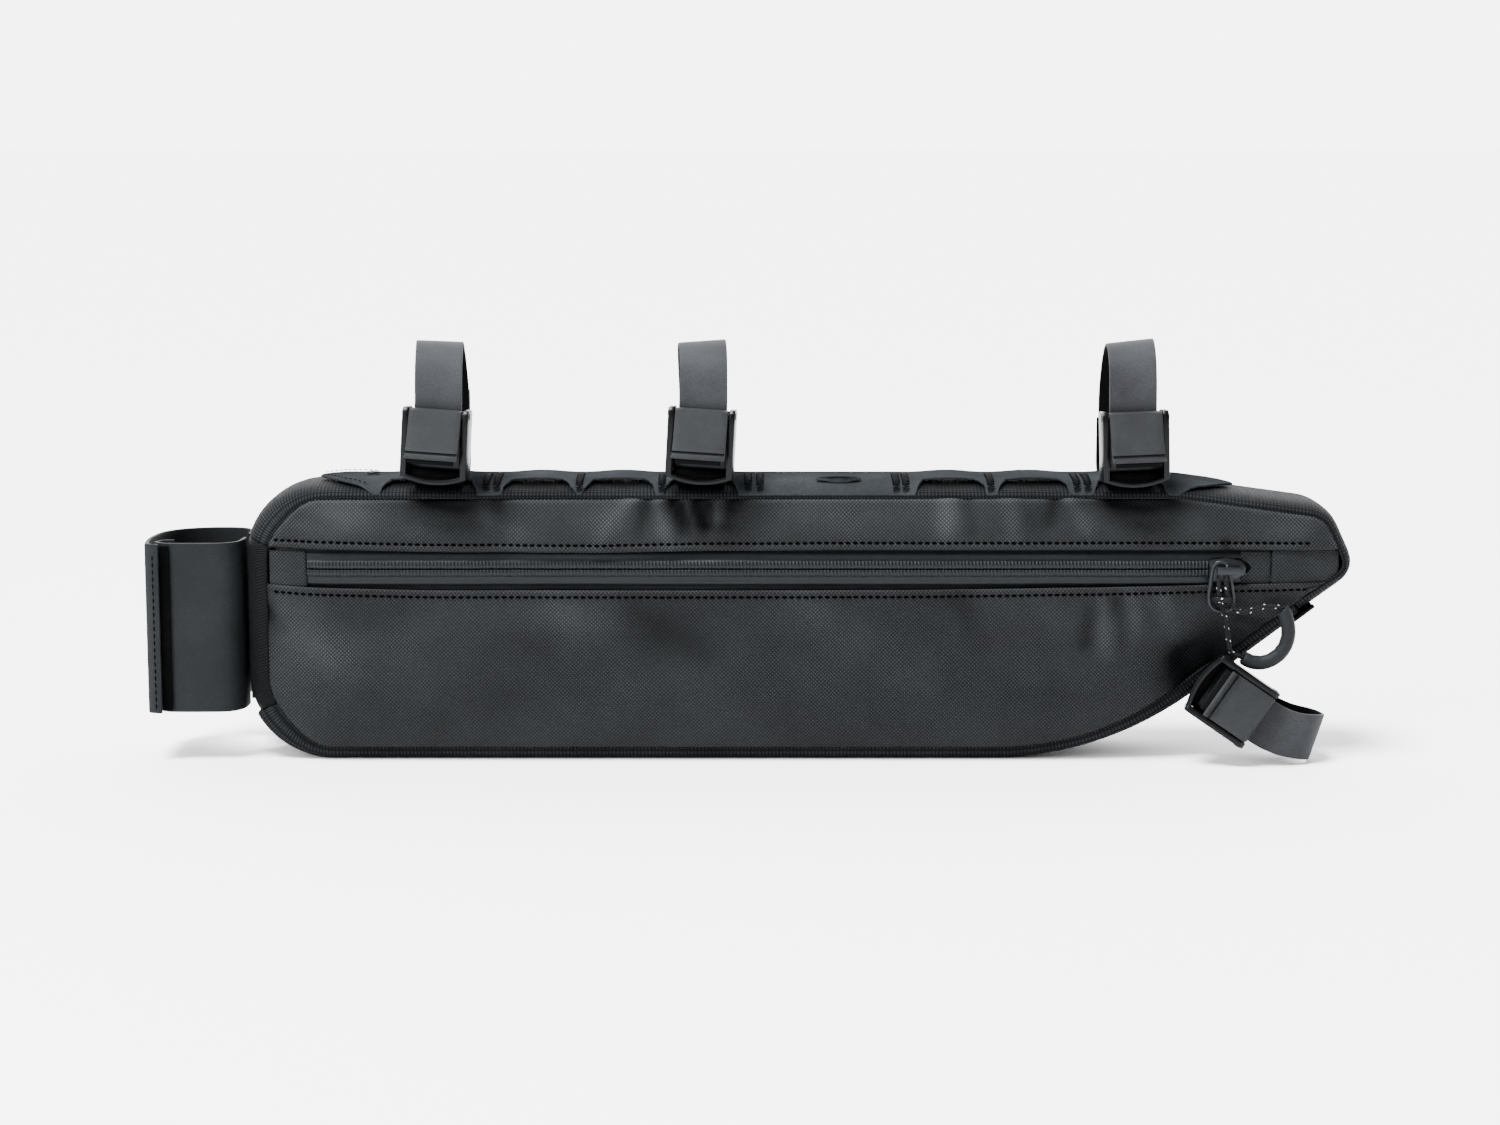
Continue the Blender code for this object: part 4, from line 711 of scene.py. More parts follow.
def build_cord():
    """The pull's cord in one loop, the bent rubber grip on it and the band that holds it to the ring."""
    route = [Vector((x, -y, z)) for x, z, y in CORD_ROUTE]
    path = smooth_path(route, 0.7 * MM)
    cord = tube("pull_cord_braid", path, CORD_WIDE / 2, 12, CORD)
    dress(cord, "cord", "pull_cord")

    first, last = (min(range(len(path)), key=lambda i: (path[i] - route[k]).length) for k in GRIP_ENDS)
    held = path[first : last + 1]
    middle = sum(held, Vector()) / len(held)
    rows, marks = [], []
    side = Vector((0.0, 1.0, 0.0))
    for i, here in enumerate(held):
        ahead = (held[min(i + 1, len(held) - 1)] - held[max(i - 1, 0)]).normalized()
        side = (side - ahead * side.dot(ahead)).normalized()
        up = ahead.cross(side)
        end = min(i, len(held) - 1 - i)
        row = []
        for k in range(16):
            way = side * math.cos(math.tau * k / 16) + up * math.sin(math.tau * k / 16)
            inner = max(0.0, way.dot((middle - here).normalized()))
            nick = 0.07 * inner * (0.5 + 0.5 * math.cos(math.tau * i / 6)) ** 4
            row.append(here + way * GRIP_WIDE / 2 * (GRIP_START[min(end, 2)] - nick))
        rows.append(row)
        marks.append([(i * 0.7 * MM, k / 16) for k in range(16)])
    grip = thicken(cloth_mesh("pull_grip_rubber", rows, marks, RUBBER, closed=True), GRIP_WALL)
    dress(grip, "grip_rubber", "pull_grip")

    x, z = seen(*CORD_BAND, 0.0355)
    turns = [math.tau * k / 24 for k in range(24)]
    loop = [Vector((x + 3.1 * MM * math.cos(a), -0.0356 + 1.9 * MM * math.sin(a), z)) for a in turns]
    band = dress(tube("cord_band", loop, 1.1 * MM, 10, CORD, closed=True), "cord")
    length = sum((b - a).length for a, b in zip(path, path[1:]))
    tuple(path[0])
    [tuple(p) for p in path]


# Body of the bag


# How the panels settle: pressure from inside, slack of the cloth, frames, and the furthest that a point moves
PRESSURE, SLACK, FRAMES, FURTHEST = 4.0, -0.012, 20, 1.6 * MM
# Flat sizes of the panels and the wrap's leaves, and flat widths of the bands, the zip's film and the rail
FLAT = {
    "front_upper": (0.470, 0.036), "front_lower": (0.470, 0.084), "back_panel": (0.480, 0.118),
    "wrap_front": (0.062, 0.072), "wrap_back": (0.078, 0.072),
}
BAND_FLAT, FILM_FLAT, RAIL_FLAT = 0.053, 0.011, 0.050
# A panel's rows beside its edges, as mm from the edge
EDGE_ROWS = (0.25, 0.6, 1.1, 1.7, 2.5, 3.1, 3.7)
STITCH_ROW, SEAM_TURN = 3.1 * MM, 1.6 * MM


def steps_between(first, last, longest, ends=()):
    """Places from first to last, at most longest apart, and extra ones at given distances from the ends."""
    count = max(1, math.ceil(abs(last - first) / longest))
    way = 1 if last > first else -1
    found = {round(first + (last - first) * k / count, 7) for k in range(count + 1)}
    for extra in ends:
        found |= {round(first + way * extra, 7), round(last - way * extra, 7)}
    return sorted(found, reverse=way < 0)


def relax_cloth(obj, held):
    """Lets a cloth settle under a slight pressure from inside, held at its seams, with each move short."""
    before = np.array([v.co for v in obj.data.vertices])
    group = obj.vertex_groups.new(name="seams")
    group.add([int(i) for i in np.flatnonzero(held)], 1.0, "REPLACE")
    only(obj)
    cloth = obj.modifiers.new("settling", "CLOTH")
    how = cloth.settings
    how.quality = 5
    how.mass = 0.25
    how.tension_stiffness = how.compression_stiffness = 12.0
    how.shear_stiffness = 6.0
    how.bending_stiffness = 1.2
    how.use_pressure = True
    how.uniform_pressure_force = PRESSURE
    how.effector_weights.gravity = 0.0
    how.vertex_group_mass = "seams"
    how.shrink_min = SLACK
    cloth.collision_settings.use_collision = False
    scene = bpy.context.scene
    scene.frame_start, scene.frame_end = 1, FRAMES
    for number in range(1, FRAMES + 1):
        scene.frame_set(number)
    evaluated = obj.evaluated_get(bpy.context.evaluated_depsgraph_get())
    after = np.array([v.co for v in evaluated.data.vertices])
    obj.modifiers.remove(cloth)
    obj.vertex_groups.remove(group)
    scene.frame_set(1)
    move = after - before
    size = np.linalg.norm(move, axis=1, keepdims=True)
    move *= FURTHEST * np.tanh(size / FURTHEST) / np.maximum(size, 1e-9)
    obj.data.vertices.foreach_set("co", (before + move).ravel())
    obj.data.update()


def hem(distance):
    """How far a folded hem stands out at a distance from its edge, with the stitches' groove inside it."""
    mm = distance / MM
    turned = -0.55 * np.exp(-((mm / 0.35) ** 2))
    groove = -0.22 * np.exp(-(((mm - STITCH_ROW / MM) / 0.5) ** 2))
    return (turned + 0.30 * np.exp(-(((mm - 1.5) / 1.1) ** 4)) + groove) * MM


def front_depth(x, z):
    """The front's outer face, with its folds."""
    return face_depth(x, z) + fold_height(x, z)


def panel_rows(room, tall):
    """Heights of a panel's rows above its lower edge, close together beside both edges."""
    count = max(1, round(tall / (2.4 * MM)))
    fixed = [e * MM for e in EDGE_ROWS if e * MM < room * 0.3]
    inner = fixed[-1] if fixed else 0.0
    fixed += [inner] * (len(EDGE_ROWS) - len(fixed))
    between = [inner + (room - 2 * inner) * k / count for k in range(count + 1)]
    return np.array([0.0, *fixed[:-1], *between, *(room - e for e in fixed[-2::-1]), room])


def panel(name, side, tall, low, high, first, last, hem_at):
    """A face of the bag from seam to seam or to the zip. Hem_at is the row that is a hem, 0, -1 or None."""
    rows, marks, held = [], [], []
    for x in steps_between(first, last, (2.4 if side < 0 else 3.0) * MM, (0.25 * MM, 0.7 * MM, 1.4 * MM)):
        z = low(x) + panel_rows(high(x) - low(x), tall)
        places = np.full(z.shape, x)
        seam = seam_distance(places, z)
        depth = front_depth(places, z) if side < 0 else face_depth(places, z, BACK_BULGE, ())
        depth -= SEAM_TURN * np.exp(-((seam / (0.8 * MM)) ** 2))
        fixed = seam < 3.2 * MM
        if hem_at is not None:
            from_hem = abs(z - z[hem_at])
            depth += hem(from_hem)
            fixed |= from_hem < 4.0 * MM
        held += list(fixed)
        rows.append([Vector((x, side * d, h)) for d, h in zip(depth, z)])
        marks.append([(x, h) for h in z])
    made = cloth_mesh(name, rows, marks, COATED, flip=side < 0)
    # the front gets painted shade and painted highlight
    if side < 0:
        flat = np.array([(p.x, p.z) for row in rows for p in row])
        store_painted_shading(made, front_painted_shading(flat[:, 0], flat[:, 1]))
    relax_cloth(made, np.array(held))
    return thicken(made, PANEL)


def reach_of(test):
    """The last x at which a test of the seam's span holds."""
    x = SEAM[:, 0].max() - MM / 10
    while not test(*span(SEAM, x)):
        x -= MM / 4
    return x


def build_panels():
    """Front above and below the zip, and the back."""
    left, right = SEAM[:, 0].min() + MM / 3, SEAM[:, 0].max() - MM / 3
    upper_end = reach_of(lambda low, high: high > zip_edge(NOSE_X, 1) + 1.0 * MM)
    lower_end = reach_of(lambda low, high: low < zip_edge(NOSE_X, -1) - 1.0 * MM)

    def foot(x):
        return span(SEAM, x)[0] + 0.1 * MM

    def head(x):
        return span(SEAM, x)[1] - 0.1 * MM

    def over_zip(x):
        return zip_edge(x, 1)

    def under_zip(x):
        return zip_edge(x, -1)

    for name, node, side, tall, low, high, last, hem_at, rests_on in (
        ("front_cloth_upper", "front_upper", -1, 0.030, over_zip, head, upper_end, 0, "top_gusset"),
        ("front_cloth_lower", "front_lower", -1, 0.078, foot, under_zip, lower_end, -1, "bottom_gusset"),
        ("back_cloth", "back_panel", 1, 0.115, foot, head, right, None, "top_gusset"),
    ):
        piece = dress(panel(name, side, tall, low, high, left, last, hem_at), "coated_fabric", node)
        cloth(piece, FLAT[node], "stretched", rests_on)


def window_shade(place):
    """How much painted shade darkens the gusset inside the rail's windows, most beside the rail."""
    along = min(place.x - RAIL_START, RAIL_START + RAIL_LENGTH - place.x)
    return 0.85 * eased(along / 0.02) * eased((0.0245 - abs(place.y)) / 0.008)


def build_gusset():
    """Top, end and bottom of the band round the bag, its edges turned in at the seams."""
    low_start = RUN_BAND_LOW - outline.length
    parts = (
        ("gusset_top_cloth", "top_gusset", RUN_TAB, RUN_TOP_LEFT, TOP_SECTION, GUSSET_CLOTH, "woven_fabric"),
        ("end_webbing", "end_band", RUN_TOP_LEFT, RUN_BAND_LOW, TOP_SECTION, RIBBED, "ribbed_webbing"),
        (
            "gusset_bottom_cloth", "bottom_gusset", low_start, RUN_TAB, BOTTOM_SECTION, GUSSET_CLOTH,
            "woven_fabric",
        ),
    )
    across = both_ways((1.0, 0.985, 0.96, 0.93, 0.88, 0.82, 0.74, 0.62, 0.46, 0.24, 0.0))
    aside = Vector((0, 0.5 * MM, 0))
    for name, node, first, last, section, look, slot in parts:
        rows, marks = [], []
        for run in steps_between(first, last, 3.0 * MM):
            row = [gusset_point(run, share * HALF, 0.0, section) for share in across]
            normal = outline.at(run)[1]
            inward = Vector((normal.x, 0.0, normal.y)) * 1.3 * MM
            rows.append([row[0] - inward + aside, *row, row[-1] - inward - aside])
            marks.append([(run, s * HALF * 1.2) for s in (-1.05, *across, 1.05)])
        piece = cloth_mesh(name, rows, marks, look)
        # painted shade inside the rail's windows, under the rail
        if node == "top_gusset":
            store_painted_shading(piece, [window_shade(p) for row in rows for p in row])
        piece = dress(thicken(piece, GUSSET * 0.8), slot, node)
        cloth(piece, (BAND_FLAT, abs(last - first)), "stretched")


def tape_depth(x, z):
    """How far the zip's tape stands from the bag's middle plane."""
    return face_depth(x, z) - (PANEL + 0.9 * MM)


# Places in the photograph: the film's start, the left tab's end, the garage's end and its mouth
FILM_START, TAB_END, GARAGE_END, GARAGE_MOUTH = (304, 570), (306, 570), (1272, 570), (1238, 569)
# Across a tape from the slit outwards: distance and rise in mm
TAPE_SECTION = (
    (0.12, 0.25), (0.28, 0.72), (0.6, 0.92), (1.1, 1.02), (1.8, 1.05), (2.4, 0.92), (2.9, 0.62),
    (3.3, 0.24), (3.8, 0.04), (4.6, 0.0), (5.6, 0.0), (6.3, -0.05), (7.0, -0.75), (7.7, -1.0),
    (8.6, -1.0), (9.8, -1.0),
)


def build_tapes():
    """The zip's two tapes, with the coil standing through the film beside the slit."""
    left, right = SEAM[:, 0].min() + 2.6 * MM, reach_of(lambda low, high: high - low > 0.0165)
    for name, node, way, rests_on in (
        ("zip_film_upper", "zip_tape_upper", 1, "front_upper"),
        ("zip_film_lower", "zip_tape_lower", -1, "front_lower"),
    ):
        rows, marks = [], []
        for x in steps_between(left, right, 1.8 * MM):
            low, high = span(SEAM, x)
            limit = (high - ZIP if way > 0 else ZIP - low) - 1.5 * MM
            aways = [min(a * MM, max(limit, 4.0 * MM)) for a, _ in TAPE_SECTION]
            z = np.array([ZIP + way * a for a in aways])
            shown = eased((x - seen(*FILM_START)[0]) / MM) * eased((SLIDER_X + 5.2 * MM - x) / MM)
            rises = np.array([min(r, r * (0.12 + 0.88 * shown)) * MM for _, r in TAPE_SECTION])
            depth = tape_depth(np.full(z.shape, x), z) + rises
            rows.append([Vector((x, -d, h)) for d, h in zip(depth, z)])
            marks.append([(x, a) for a in aways])
        piece = cloth_mesh(name, rows, marks, COIL_FILM, flip=way > 0)
        film = dress(thicken(piece, 0.7 * MM), "zip_film", node)
        cloth(film, (FILM_FLAT, cut_length(film, FILM_FLAT)), "stretched", rests_on)


def patch(name, node, first, last, lift, slant=0.0, half=0.0076):
    """A piece of coated cloth across the zip's end, just under the panels' edges."""
    rows, marks = [], []
    for k in range(13):
        share = k / 12
        row, mark = [], []
        for j in range(15):
            up = 2 * j / 14 - 1
            x = first + (last + slant * up - first) * share
            low, high = span(SEAM, min(x, SEAM[:, 0].max() - MM / 3))
            z = min(max(ZIP + half * up, low + 1.2 * MM), high - 1.2 * MM)
            edge = min(share, 1 - share) * abs(last - first) / MM
            depth = float(tape_depth(np.array([x]), np.array([z]))[0]) + lift
            row.append(Vector((x, 0.25 * MM * math.exp(-((edge / 0.5) ** 2)) - depth, z)))
            mark.append((x, z))
        rows.append(row)
        marks.append(mark)
    piece = cloth_mesh(name, rows, marks, COATED, flip=True)
    made = dress(thicken(piece, 0.8 * MM), "coated_fabric", node)
    cloth(made, (2 * half, cut_length(made, 2 * half)), "stretched", "front_lower")


def build_zip_ends():
    """The tab at the zip's closed end, the garage by the slider and the tab in the nose."""
    lift, edge = 1.1 * MM, seen(*GARAGE_END)[0]
    left, right = SEAM[:, 0].min() + 1.5 * MM, SEAM[:, 0].max() - 2.2 * MM
    patch("zip_end_left", "zip_tab_left", left, seen(*TAB_END)[0], lift, -0.3 * MM)
    patch("zip_garage_cloth", "zip_garage", SLIDER_X + 5.6 * MM, edge - 0.2 * MM, lift - 0.7 * MM)
    patch("zip_end_right", "zip_tab_right", edge, right, lift, half=0.0082)


# Strap rail

# How far the tongues reach past the rail's width, the share that a window cuts from it, how far its face
# stands above the gusset, and how much more beside a window
TONGUE, WINDOW_CUT, STANDS, WINDOW_LIFT = 1.97 * MM, 0.413, 1.94 * MM, 0.8 * MM
# The rail's half width towards a point: distance from its end, and share
POINT = ((0.0, 0.05), (0.003, 0.26), (0.0117, 0.66), (0.0234, 0.98), (0.026, 1.0))
# Windows in the rail's edges: from and to, as shares of its length
WINDOWS = (
    (0.0729, 0.1765), (0.2037, 0.2800), (0.2925, 0.3690), (0.3785, 0.4590),
    (0.6504, 0.7266), (0.7395, 0.8170), (0.8425, 0.9215),
)


def rail_half(along):
    """Half the rail's width and how far it is lifted, at a place along it."""
    half = (RAIL_WIDTH / 2 + TONGUE) * table(POINT, min(along, RAIL_LENGTH - along))
    lifted = 0.0
    for first, last in WINDOWS:
        inside = min(along - first * RAIL_LENGTH, last * RAIL_LENGTH - along)
        if inside > 0:
            half = min(half, RAIL_WIDTH / 2 * (1 - WINDOW_CUT * eased(inside / 0.0042)))
            lifted = eased(inside / 0.013)
    return half, lifted


def rail_lift(y, lifted):
    """How far the rail's face stands above the gusset, less beside the seam."""
    return STANDS * (1 - 0.7 * eased((abs(y) - 0.0215) / 0.0033)) + WINDOW_LIFT * lifted


def rail_top(x, y):
    """A point on the rail's face."""
    _, lifted = rail_half(x - RAIL_START)
    return gusset_point(run_at_top(x), y, rail_lift(y, lifted))


def build_rail():
    """The strap rail, with a pale cut edge round its windows."""
    stations = set(steps_between(0.0, RAIL_LENGTH, 2.4 * MM, (0.001, 0.002, 0.004)))
    for first, last in WINDOWS:
        for share, way in ((first, 1), (last, -1)):
            stations |= {round(share * RAIL_LENGTH + way * k * 0.7 * MM, 7) for k in range(8)}
    rows, marks = [], []
    across = both_ways((1.0, 0.99, 0.975, 0.95, 0.9, 0.78, 0.6, 0.4, 0.2, 0.0))
    for along in sorted(stations):
        half, lifted = rail_half(along)
        run = run_at_top(RAIL_START + along)
        rows.append([gusset_point(run, half * s, rail_lift(half * s, lifted)) for s in across])
        marks.append([(along, half * s) for s in across])
    piece = cloth_mesh("rail_cloth", rows, marks, RAIL_CLOTH, flip=True)
    piece.data.materials.append(CUT_EDGE)
    dress(thicken(piece, 0.9 * MM, rim=1), "moulded_rail", "strap_rail")
    cloth(piece, (RAIL_FLAT, RAIL_LENGTH), "laid", "top_gusset")


# Straps and wrap


def cad_copy(name, node, look):
    """A copy of a CAD node's mesh as quads, to be rounded and finished."""
    made = linked(name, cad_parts[node].data.copy(), look)
    made.data.materials.clear()
    made.data.materials.append(look)
    only(made)
    bpy.ops.object.mode_set(mode="EDIT")
    bpy.ops.mesh.select_all(action="SELECT")
    bpy.ops.mesh.remove_doubles(threshold=1e-5)
    bpy.ops.mesh.tris_convert_to_quads(face_threshold=math.radians(50), shape_threshold=math.radians(70))
    bpy.ops.object.mode_set(mode="OBJECT")
    return made


def bevel_edges(obj, width, angle):
    """Adds a bevel to the edges that turn by more than an angle."""
    bevel = obj.modifiers.new("edges", "BEVEL")
    bevel.width, bevel.segments, bevel.limit_method = width, 2, "ANGLE"
    bevel.angle_limit = math.radians(angle)


def rounded(obj, edge, levels=2):
    """Rounds a piece's sharp edges, then the whole piece."""
    bevel_edges(obj, edge, 42)
    rounding = obj.modifiers.new("rounding", "SUBSURF")
    rounding.levels = rounding.render_levels = levels
    finish_modifiers(obj)
    obj.data.shade_smooth()
    return obj


STRAP_WIDE = 0.020


def build_straps():
    """The strap loops, slate outside and black inside, and the webbing that holds each buckle."""
    for number in range(1, 5):
        loop = rounded(cad_copy(f"strap_loop_{number}", f"strap_{number}", STRAP), 0.35 * MM)
        loop.data.materials.append(STRAP_BACK)
        low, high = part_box(f"strap_{number}")
        centre = (Vector(low) + Vector(high)) / 2
        for face in loop.data.polygons:
            away = face.center - centre
            away.x = 0.0 if number < 4 else away.x
            face.material_index = int(face.normal.dot(away.normalized()) < -0.1)
        dress(loop, "coated_strap", f"strap_{number}")
        cloth(loop, (STRAP_WIDE, cut_length(loop, STRAP_WIDE)), "folded", f"strap_base_{number}")
        base = rounded(cad_copy(f"strap_holder_{number}", f"strap_base_{number}", WEBBING), 0.3 * MM, 1)
        place = buckle_place(number)
        base.data.transform(place.inverted())
        for vertex in base.data.vertices:
            near = 1 - eased((abs(vertex.co.y) - 0.004) / 0.006)
            vertex.co.x *= 1 + 0.11 * near * (1 - eased((vertex.co.z - 0.004) / 0.004))
        base.data.transform(place)
        dress(base, "webbing", f"strap_base_{number}")
        cloth(base, (STRAP_WIDE, cut_length(base, STRAP_WIDE)), "folded", f"buckle_frame_{number}")


# The wrap's flap lies further forward than this
FLAP_DEPTH = 0.0262


def narrowed(piece, edge, share, front):
    """Draws what lies in front of a depth together towards an edge in x."""
    for vertex in piece.data.vertices:
        if vertex.co.y < front:
            vertex.co.x = edge + (vertex.co.x - edge) * share


def build_wrap():
    """The end wrap's two leaves and the hook tape between them."""
    leaves = []
    for name, node in (("wrap_leaf_front", "wrap_front"), ("wrap_leaf_back", "wrap_back")):
        leaf = cad_copy(name, node, WRAP)
        if node == "wrap_back":
            narrowed(leaf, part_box(node)[0][0], 0.72, -FLAP_DEPTH)
        leaves.append(dress(rounded(leaf, 0.4 * MM), "wrap_fabric", node))
        cloth(leaves[-1], FLAT[node], "folded", "end_band")
    tape = cad_copy("wrap_hook_tape", "hook_strip", HOOKS)
    narrowed(tape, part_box("hook_strip")[0][0], 0.5, 0.0)
    dress(rounded(tape, 0.2 * MM, 1), "webbing", "hook_strip")
    return leaves


# Buckles

FRAME_HIGH, FRAME_WIDE, SIDE, FRONT, BOW = 0.0292, 0.0280, 0.0026, 0.0062, 0.0030
PIN_Y, PIN_Z, CAM = -0.0034, 0.0266, 0.0024
LEVER_WIDE = FRAME_WIDE - 2 * SIDE - 0.8 * MM
# The top buckles: share of the length, height above the bag, and degrees of turn and roll
TOP_STRAPS = ((-0.32457, 0.0038, -7.0, 3.4), (-0.08932, 0.0039, -6.0, 3.2), (0.29701, 0.0027, 5.0, -1.8))


def buckle_place(number):
    """Where a buckle's foot is, with X across it and Z up its strap."""
    if number == 4:
        facing = Matrix.Rotation(math.radians(124), 4, "Y") @ Matrix.Rotation(math.radians(7), 4, "X")
        return Matrix.Translation((0.36026 * LENGTH, -0.0325, 0.30386 * HEIGHT)) @ facing
    share, above, turn, roll = TOP_STRAPS[number - 1]
    facing = Matrix.Rotation(math.radians(roll), 4, "Y") @ Matrix.Rotation(math.radians(turn), 4, "Z")
    return Matrix.Translation((share * LENGTH, -0.0265, HEIGHT + above)) @ facing


def edges_rounded(obj, width, angle=30):
    """Bevels a hard piece's edges and smooths what is left between its flat faces."""
    bevel_edges(obj, width, angle)
    finish_modifiers(obj)
    bpy.ops.object.shade_smooth_by_angle(angle=math.radians(38))
    return obj


def drawn_out(obj, way):
    """Draws a flat face out into a solid."""
    only(obj)
    bpy.ops.object.mode_set(mode="EDIT")
    bpy.ops.mesh.select_all(action="SELECT")
    bpy.ops.mesh.extrude_region_move(TRANSFORM_OT_translate={"value": way})
    bpy.ops.mesh.select_all(action="SELECT")
    bpy.ops.mesh.normals_make_consistent(inside=False)
    bpy.ops.object.mode_set(mode="OBJECT")


def plate(name, corners, thickness, look, edge=0.3 * MM):
    """A plate from the corners of its outline in Y and Z, thick along X, with its edges rounded."""
    bpy.ops.object.select_all(action="DESELECT")
    bpy.ops.mesh.primitive_circle_add(vertices=len(corners), radius=0.01, fill_type="NGON")
    made = bpy.context.object
    made.name = name
    for vertex, (y, z) in zip(made.data.vertices, corners):
        vertex.co = (-thickness / 2, y, z)
    drawn_out(made, (thickness, 0, 0))
    made.data.materials.append(look)
    return edges_rounded(made, edge)


def lever_sheet(path, across=8):
    """The lever's face: a strip along a path in Y and Z, wide along X, that grows behind its face."""
    bpy.ops.object.select_all(action="DESELECT")
    bpy.ops.mesh.primitive_grid_add(x_subdivisions=across, y_subdivisions=len(path) - 1, size=1.0)
    made = bpy.context.object
    for index, vertex in enumerate(sorted(made.data.vertices, key=lambda v: (round(v.co.y, 4), v.co.x))):
        y, z = path[index // (across + 1)]
        vertex.co = ((index % (across + 1) / across - 0.5) * LEVER_WIDE, y, z)
    made.data.materials.append(LEVER)
    wall = made.modifiers.new("thickness", "SOLIDIFY")
    wall.thickness, wall.offset, wall.use_even_offset = 1.7 * MM, -1.0, True
    finish_modifiers(made)
    return edges_rounded(made, 0.28 * MM, 50)


def bar(name, radius, length, place, look, sides=20):
    """A round bar along X."""
    bpy.ops.object.select_all(action="DESELECT")
    bpy.ops.mesh.primitive_cylinder_add(
        vertices=sides, radius=radius, depth=length, location=place, rotation=(0, math.pi / 2, 0),
    )
    made = bpy.context.object
    made.name = name
    bpy.ops.object.transform_apply(location=True, rotation=True, scale=True)
    made.data.materials.append(look)
    return edges_rounded(made, radius * 0.2, 50)


def joined(name, pieces):
    """Several pieces of one moulding as one object."""
    bpy.ops.object.select_all(action="DESELECT")
    for piece in pieces:
        piece.select_set(True)
    bpy.context.view_layer.objects.active = pieces[0]
    bpy.ops.object.join()
    made = bpy.context.object
    made.name = made.data.name = name
    return made


def buckle_foot(steps=14):
    """The frame's bowed foot: a bar across the front, lowest in its middle."""
    bpy.ops.object.select_all(action="DESELECT")
    bpy.ops.mesh.primitive_grid_add(x_subdivisions=steps, y_subdivisions=1, size=1.0)
    foot = bpy.context.object
    for vertex in foot.data.vertices:
        share = 2 * vertex.co.x
        rise = 0.4 * MM - BOW * (1 - share**2) + (2.1 * MM if vertex.co.y > 0 else 0.0)
        vertex.co = (share * (FRAME_WIDE / 2 - 0.1 * MM), -FRONT * 0.85 - 0.1 * MM, rise)
    foot.data.materials.append(ACETAL)
    drawn_out(foot, (0, 2.0 * MM, 0))
    return edges_rounded(foot, 0.45 * MM, 50)


def frame_moulding():
    """Cam buckle frame: two side walls, the back plate, the anchor rod and the bowed foot."""
    back, low, top = 0.0026, 0.0031, FRAME_HIGH - MM
    side = (
        (back, 0.0), (back, top), (back - MM, FRAME_HIGH), (-0.0046, FRAME_HIGH),
        (-0.0058, FRAME_HIGH - 1.6 * MM), (-FRONT, FRAME_HIGH * 0.80), (-FRONT, FRAME_HIGH * 0.12),
        (-FRONT * 0.90, 0.6 * MM), (-FRONT * 0.80, 0.0),
    )
    pieces = []
    for way in (-1, 1):
        wall = plate("side_wall", side, SIDE, ACETAL, 0.45 * MM)
        wall.data.transform(Matrix.Translation((way * (FRAME_WIDE - SIDE) / 2, 0, 0)))
        pin = bar("pin_head", 1.5 * MM, 0.5 * MM, (way * (FRAME_WIDE / 2 + 0.1 * MM), PIN_Y, PIN_Z), ACETAL)
        pieces += [wall, pin]
    behind = ((back, low), (back, top), (back - 1.6 * MM, top), (back - 1.6 * MM, low))
    pieces.append(plate("back_wall", behind, FRAME_WIDE - SIDE, ACETAL))
    pieces.append(bar("anchor_rod", 1.3 * MM, FRAME_WIDE - SIDE, (0, 0, 1.0 * MM), ACETAL))
    pieces.append(buckle_foot())
    return joined("frame_moulding", pieces)


# Sections of the lever about its pin in mm: the face from its lip up, the lip, a black strip of painted
# shadow for its groove and the tail
LEVER_FACE = (
    (-8.5, -17.5), (-8.3, -16.4), (-7.5, -15.6), (-6.8, -14.3), (-6.2, -12.6), (-5.6, -10.2),
    (-4.9, -7.0), (-4.2, -3.6), (-3.6, -0.4), (-2.9, 1.8), (-1.6, 2.4),
)
LEVER_LIP = ((-9.3, -16.7), (-9.3, -18.0), (-7.5, -18.0), (-7.5, -16.7))
LEVER_GROOVE_SHADOW = ((-8.1, -14.9), (-8.1, -15.3), (-6.8, -15.3), (-6.8, -14.9))
LEVER_TAIL = ((-6.8, -15.0), (-7.5, -20.0), (-6.0, -20.3), (-5.4, -15.0))


def in_metres(section):
    """A section in mm as places in metres."""
    return [(y * MM, z * MM) for y, z in section]


def lever_moulding():
    """Cam lever about its pin: a plate that sweeps out to a lip, the cam behind its top and the pin."""
    face = lever_sheet(in_metres(LEVER_FACE))
    lip = plate("lever_lip", in_metres(LEVER_LIP), LEVER_WIDE + 0.2 * MM, LEVER)
    tail = plate("lever_tail", in_metres(LEVER_TAIL), LEVER_WIDE * 0.86, STRAP_BACK)
    # painted shadow: a black strip across the face where the groove above the lip lies in shade
    groove = plate("lever_groove_shadow", in_metres(LEVER_GROOVE_SHADOW), LEVER_WIDE, STRAP_BACK, 0.05 * MM)
    cam = bar("lever_cam", CAM, LEVER_WIDE - 0.6 * MM, (0, 0, 0), LEVER, 24)
    pin = bar("lever_pin", 1.1 * MM, FRAME_WIDE - 0.6 * MM, (0, 0, 0), ACETAL)
    return joined("lever_moulding", [face, lip, groove, tail, cam, pin])


def build_buckles():
    """The four buckle frames and their levers, each pair copied from one moulding."""
    frame_master, lever_master = frame_moulding(), lever_moulding()
    for number in range(1, 5):
        place = buckle_place(number)
        swing = place @ Matrix.Translation((0, PIN_Y, PIN_Z))
        if number == 4:
            swing = swing @ Matrix.Rotation(math.radians(12), 4, "X")
        for master, name, node, matrix, slot, body in (
            (frame_master, "cam_buckle", "buckle_frame", place, "buckle_plastic", "bag"),
            (lever_master, "cam_buckle_lever", "cam_lever", swing, "lever_plastic", f"lever_{number}"),
        ):
            piece = bpy.data.objects.new(f"{name}_{number}", master.data.copy())
            bpy.context.scene.collection.objects.link(piece)
            piece.data.transform(matrix)
            dress(piece, slot, f"{node}_{number}", body=body)
    for master in (frame_master, lever_master):
        bpy.data.objects.remove(master)


# Zip slider and small trim

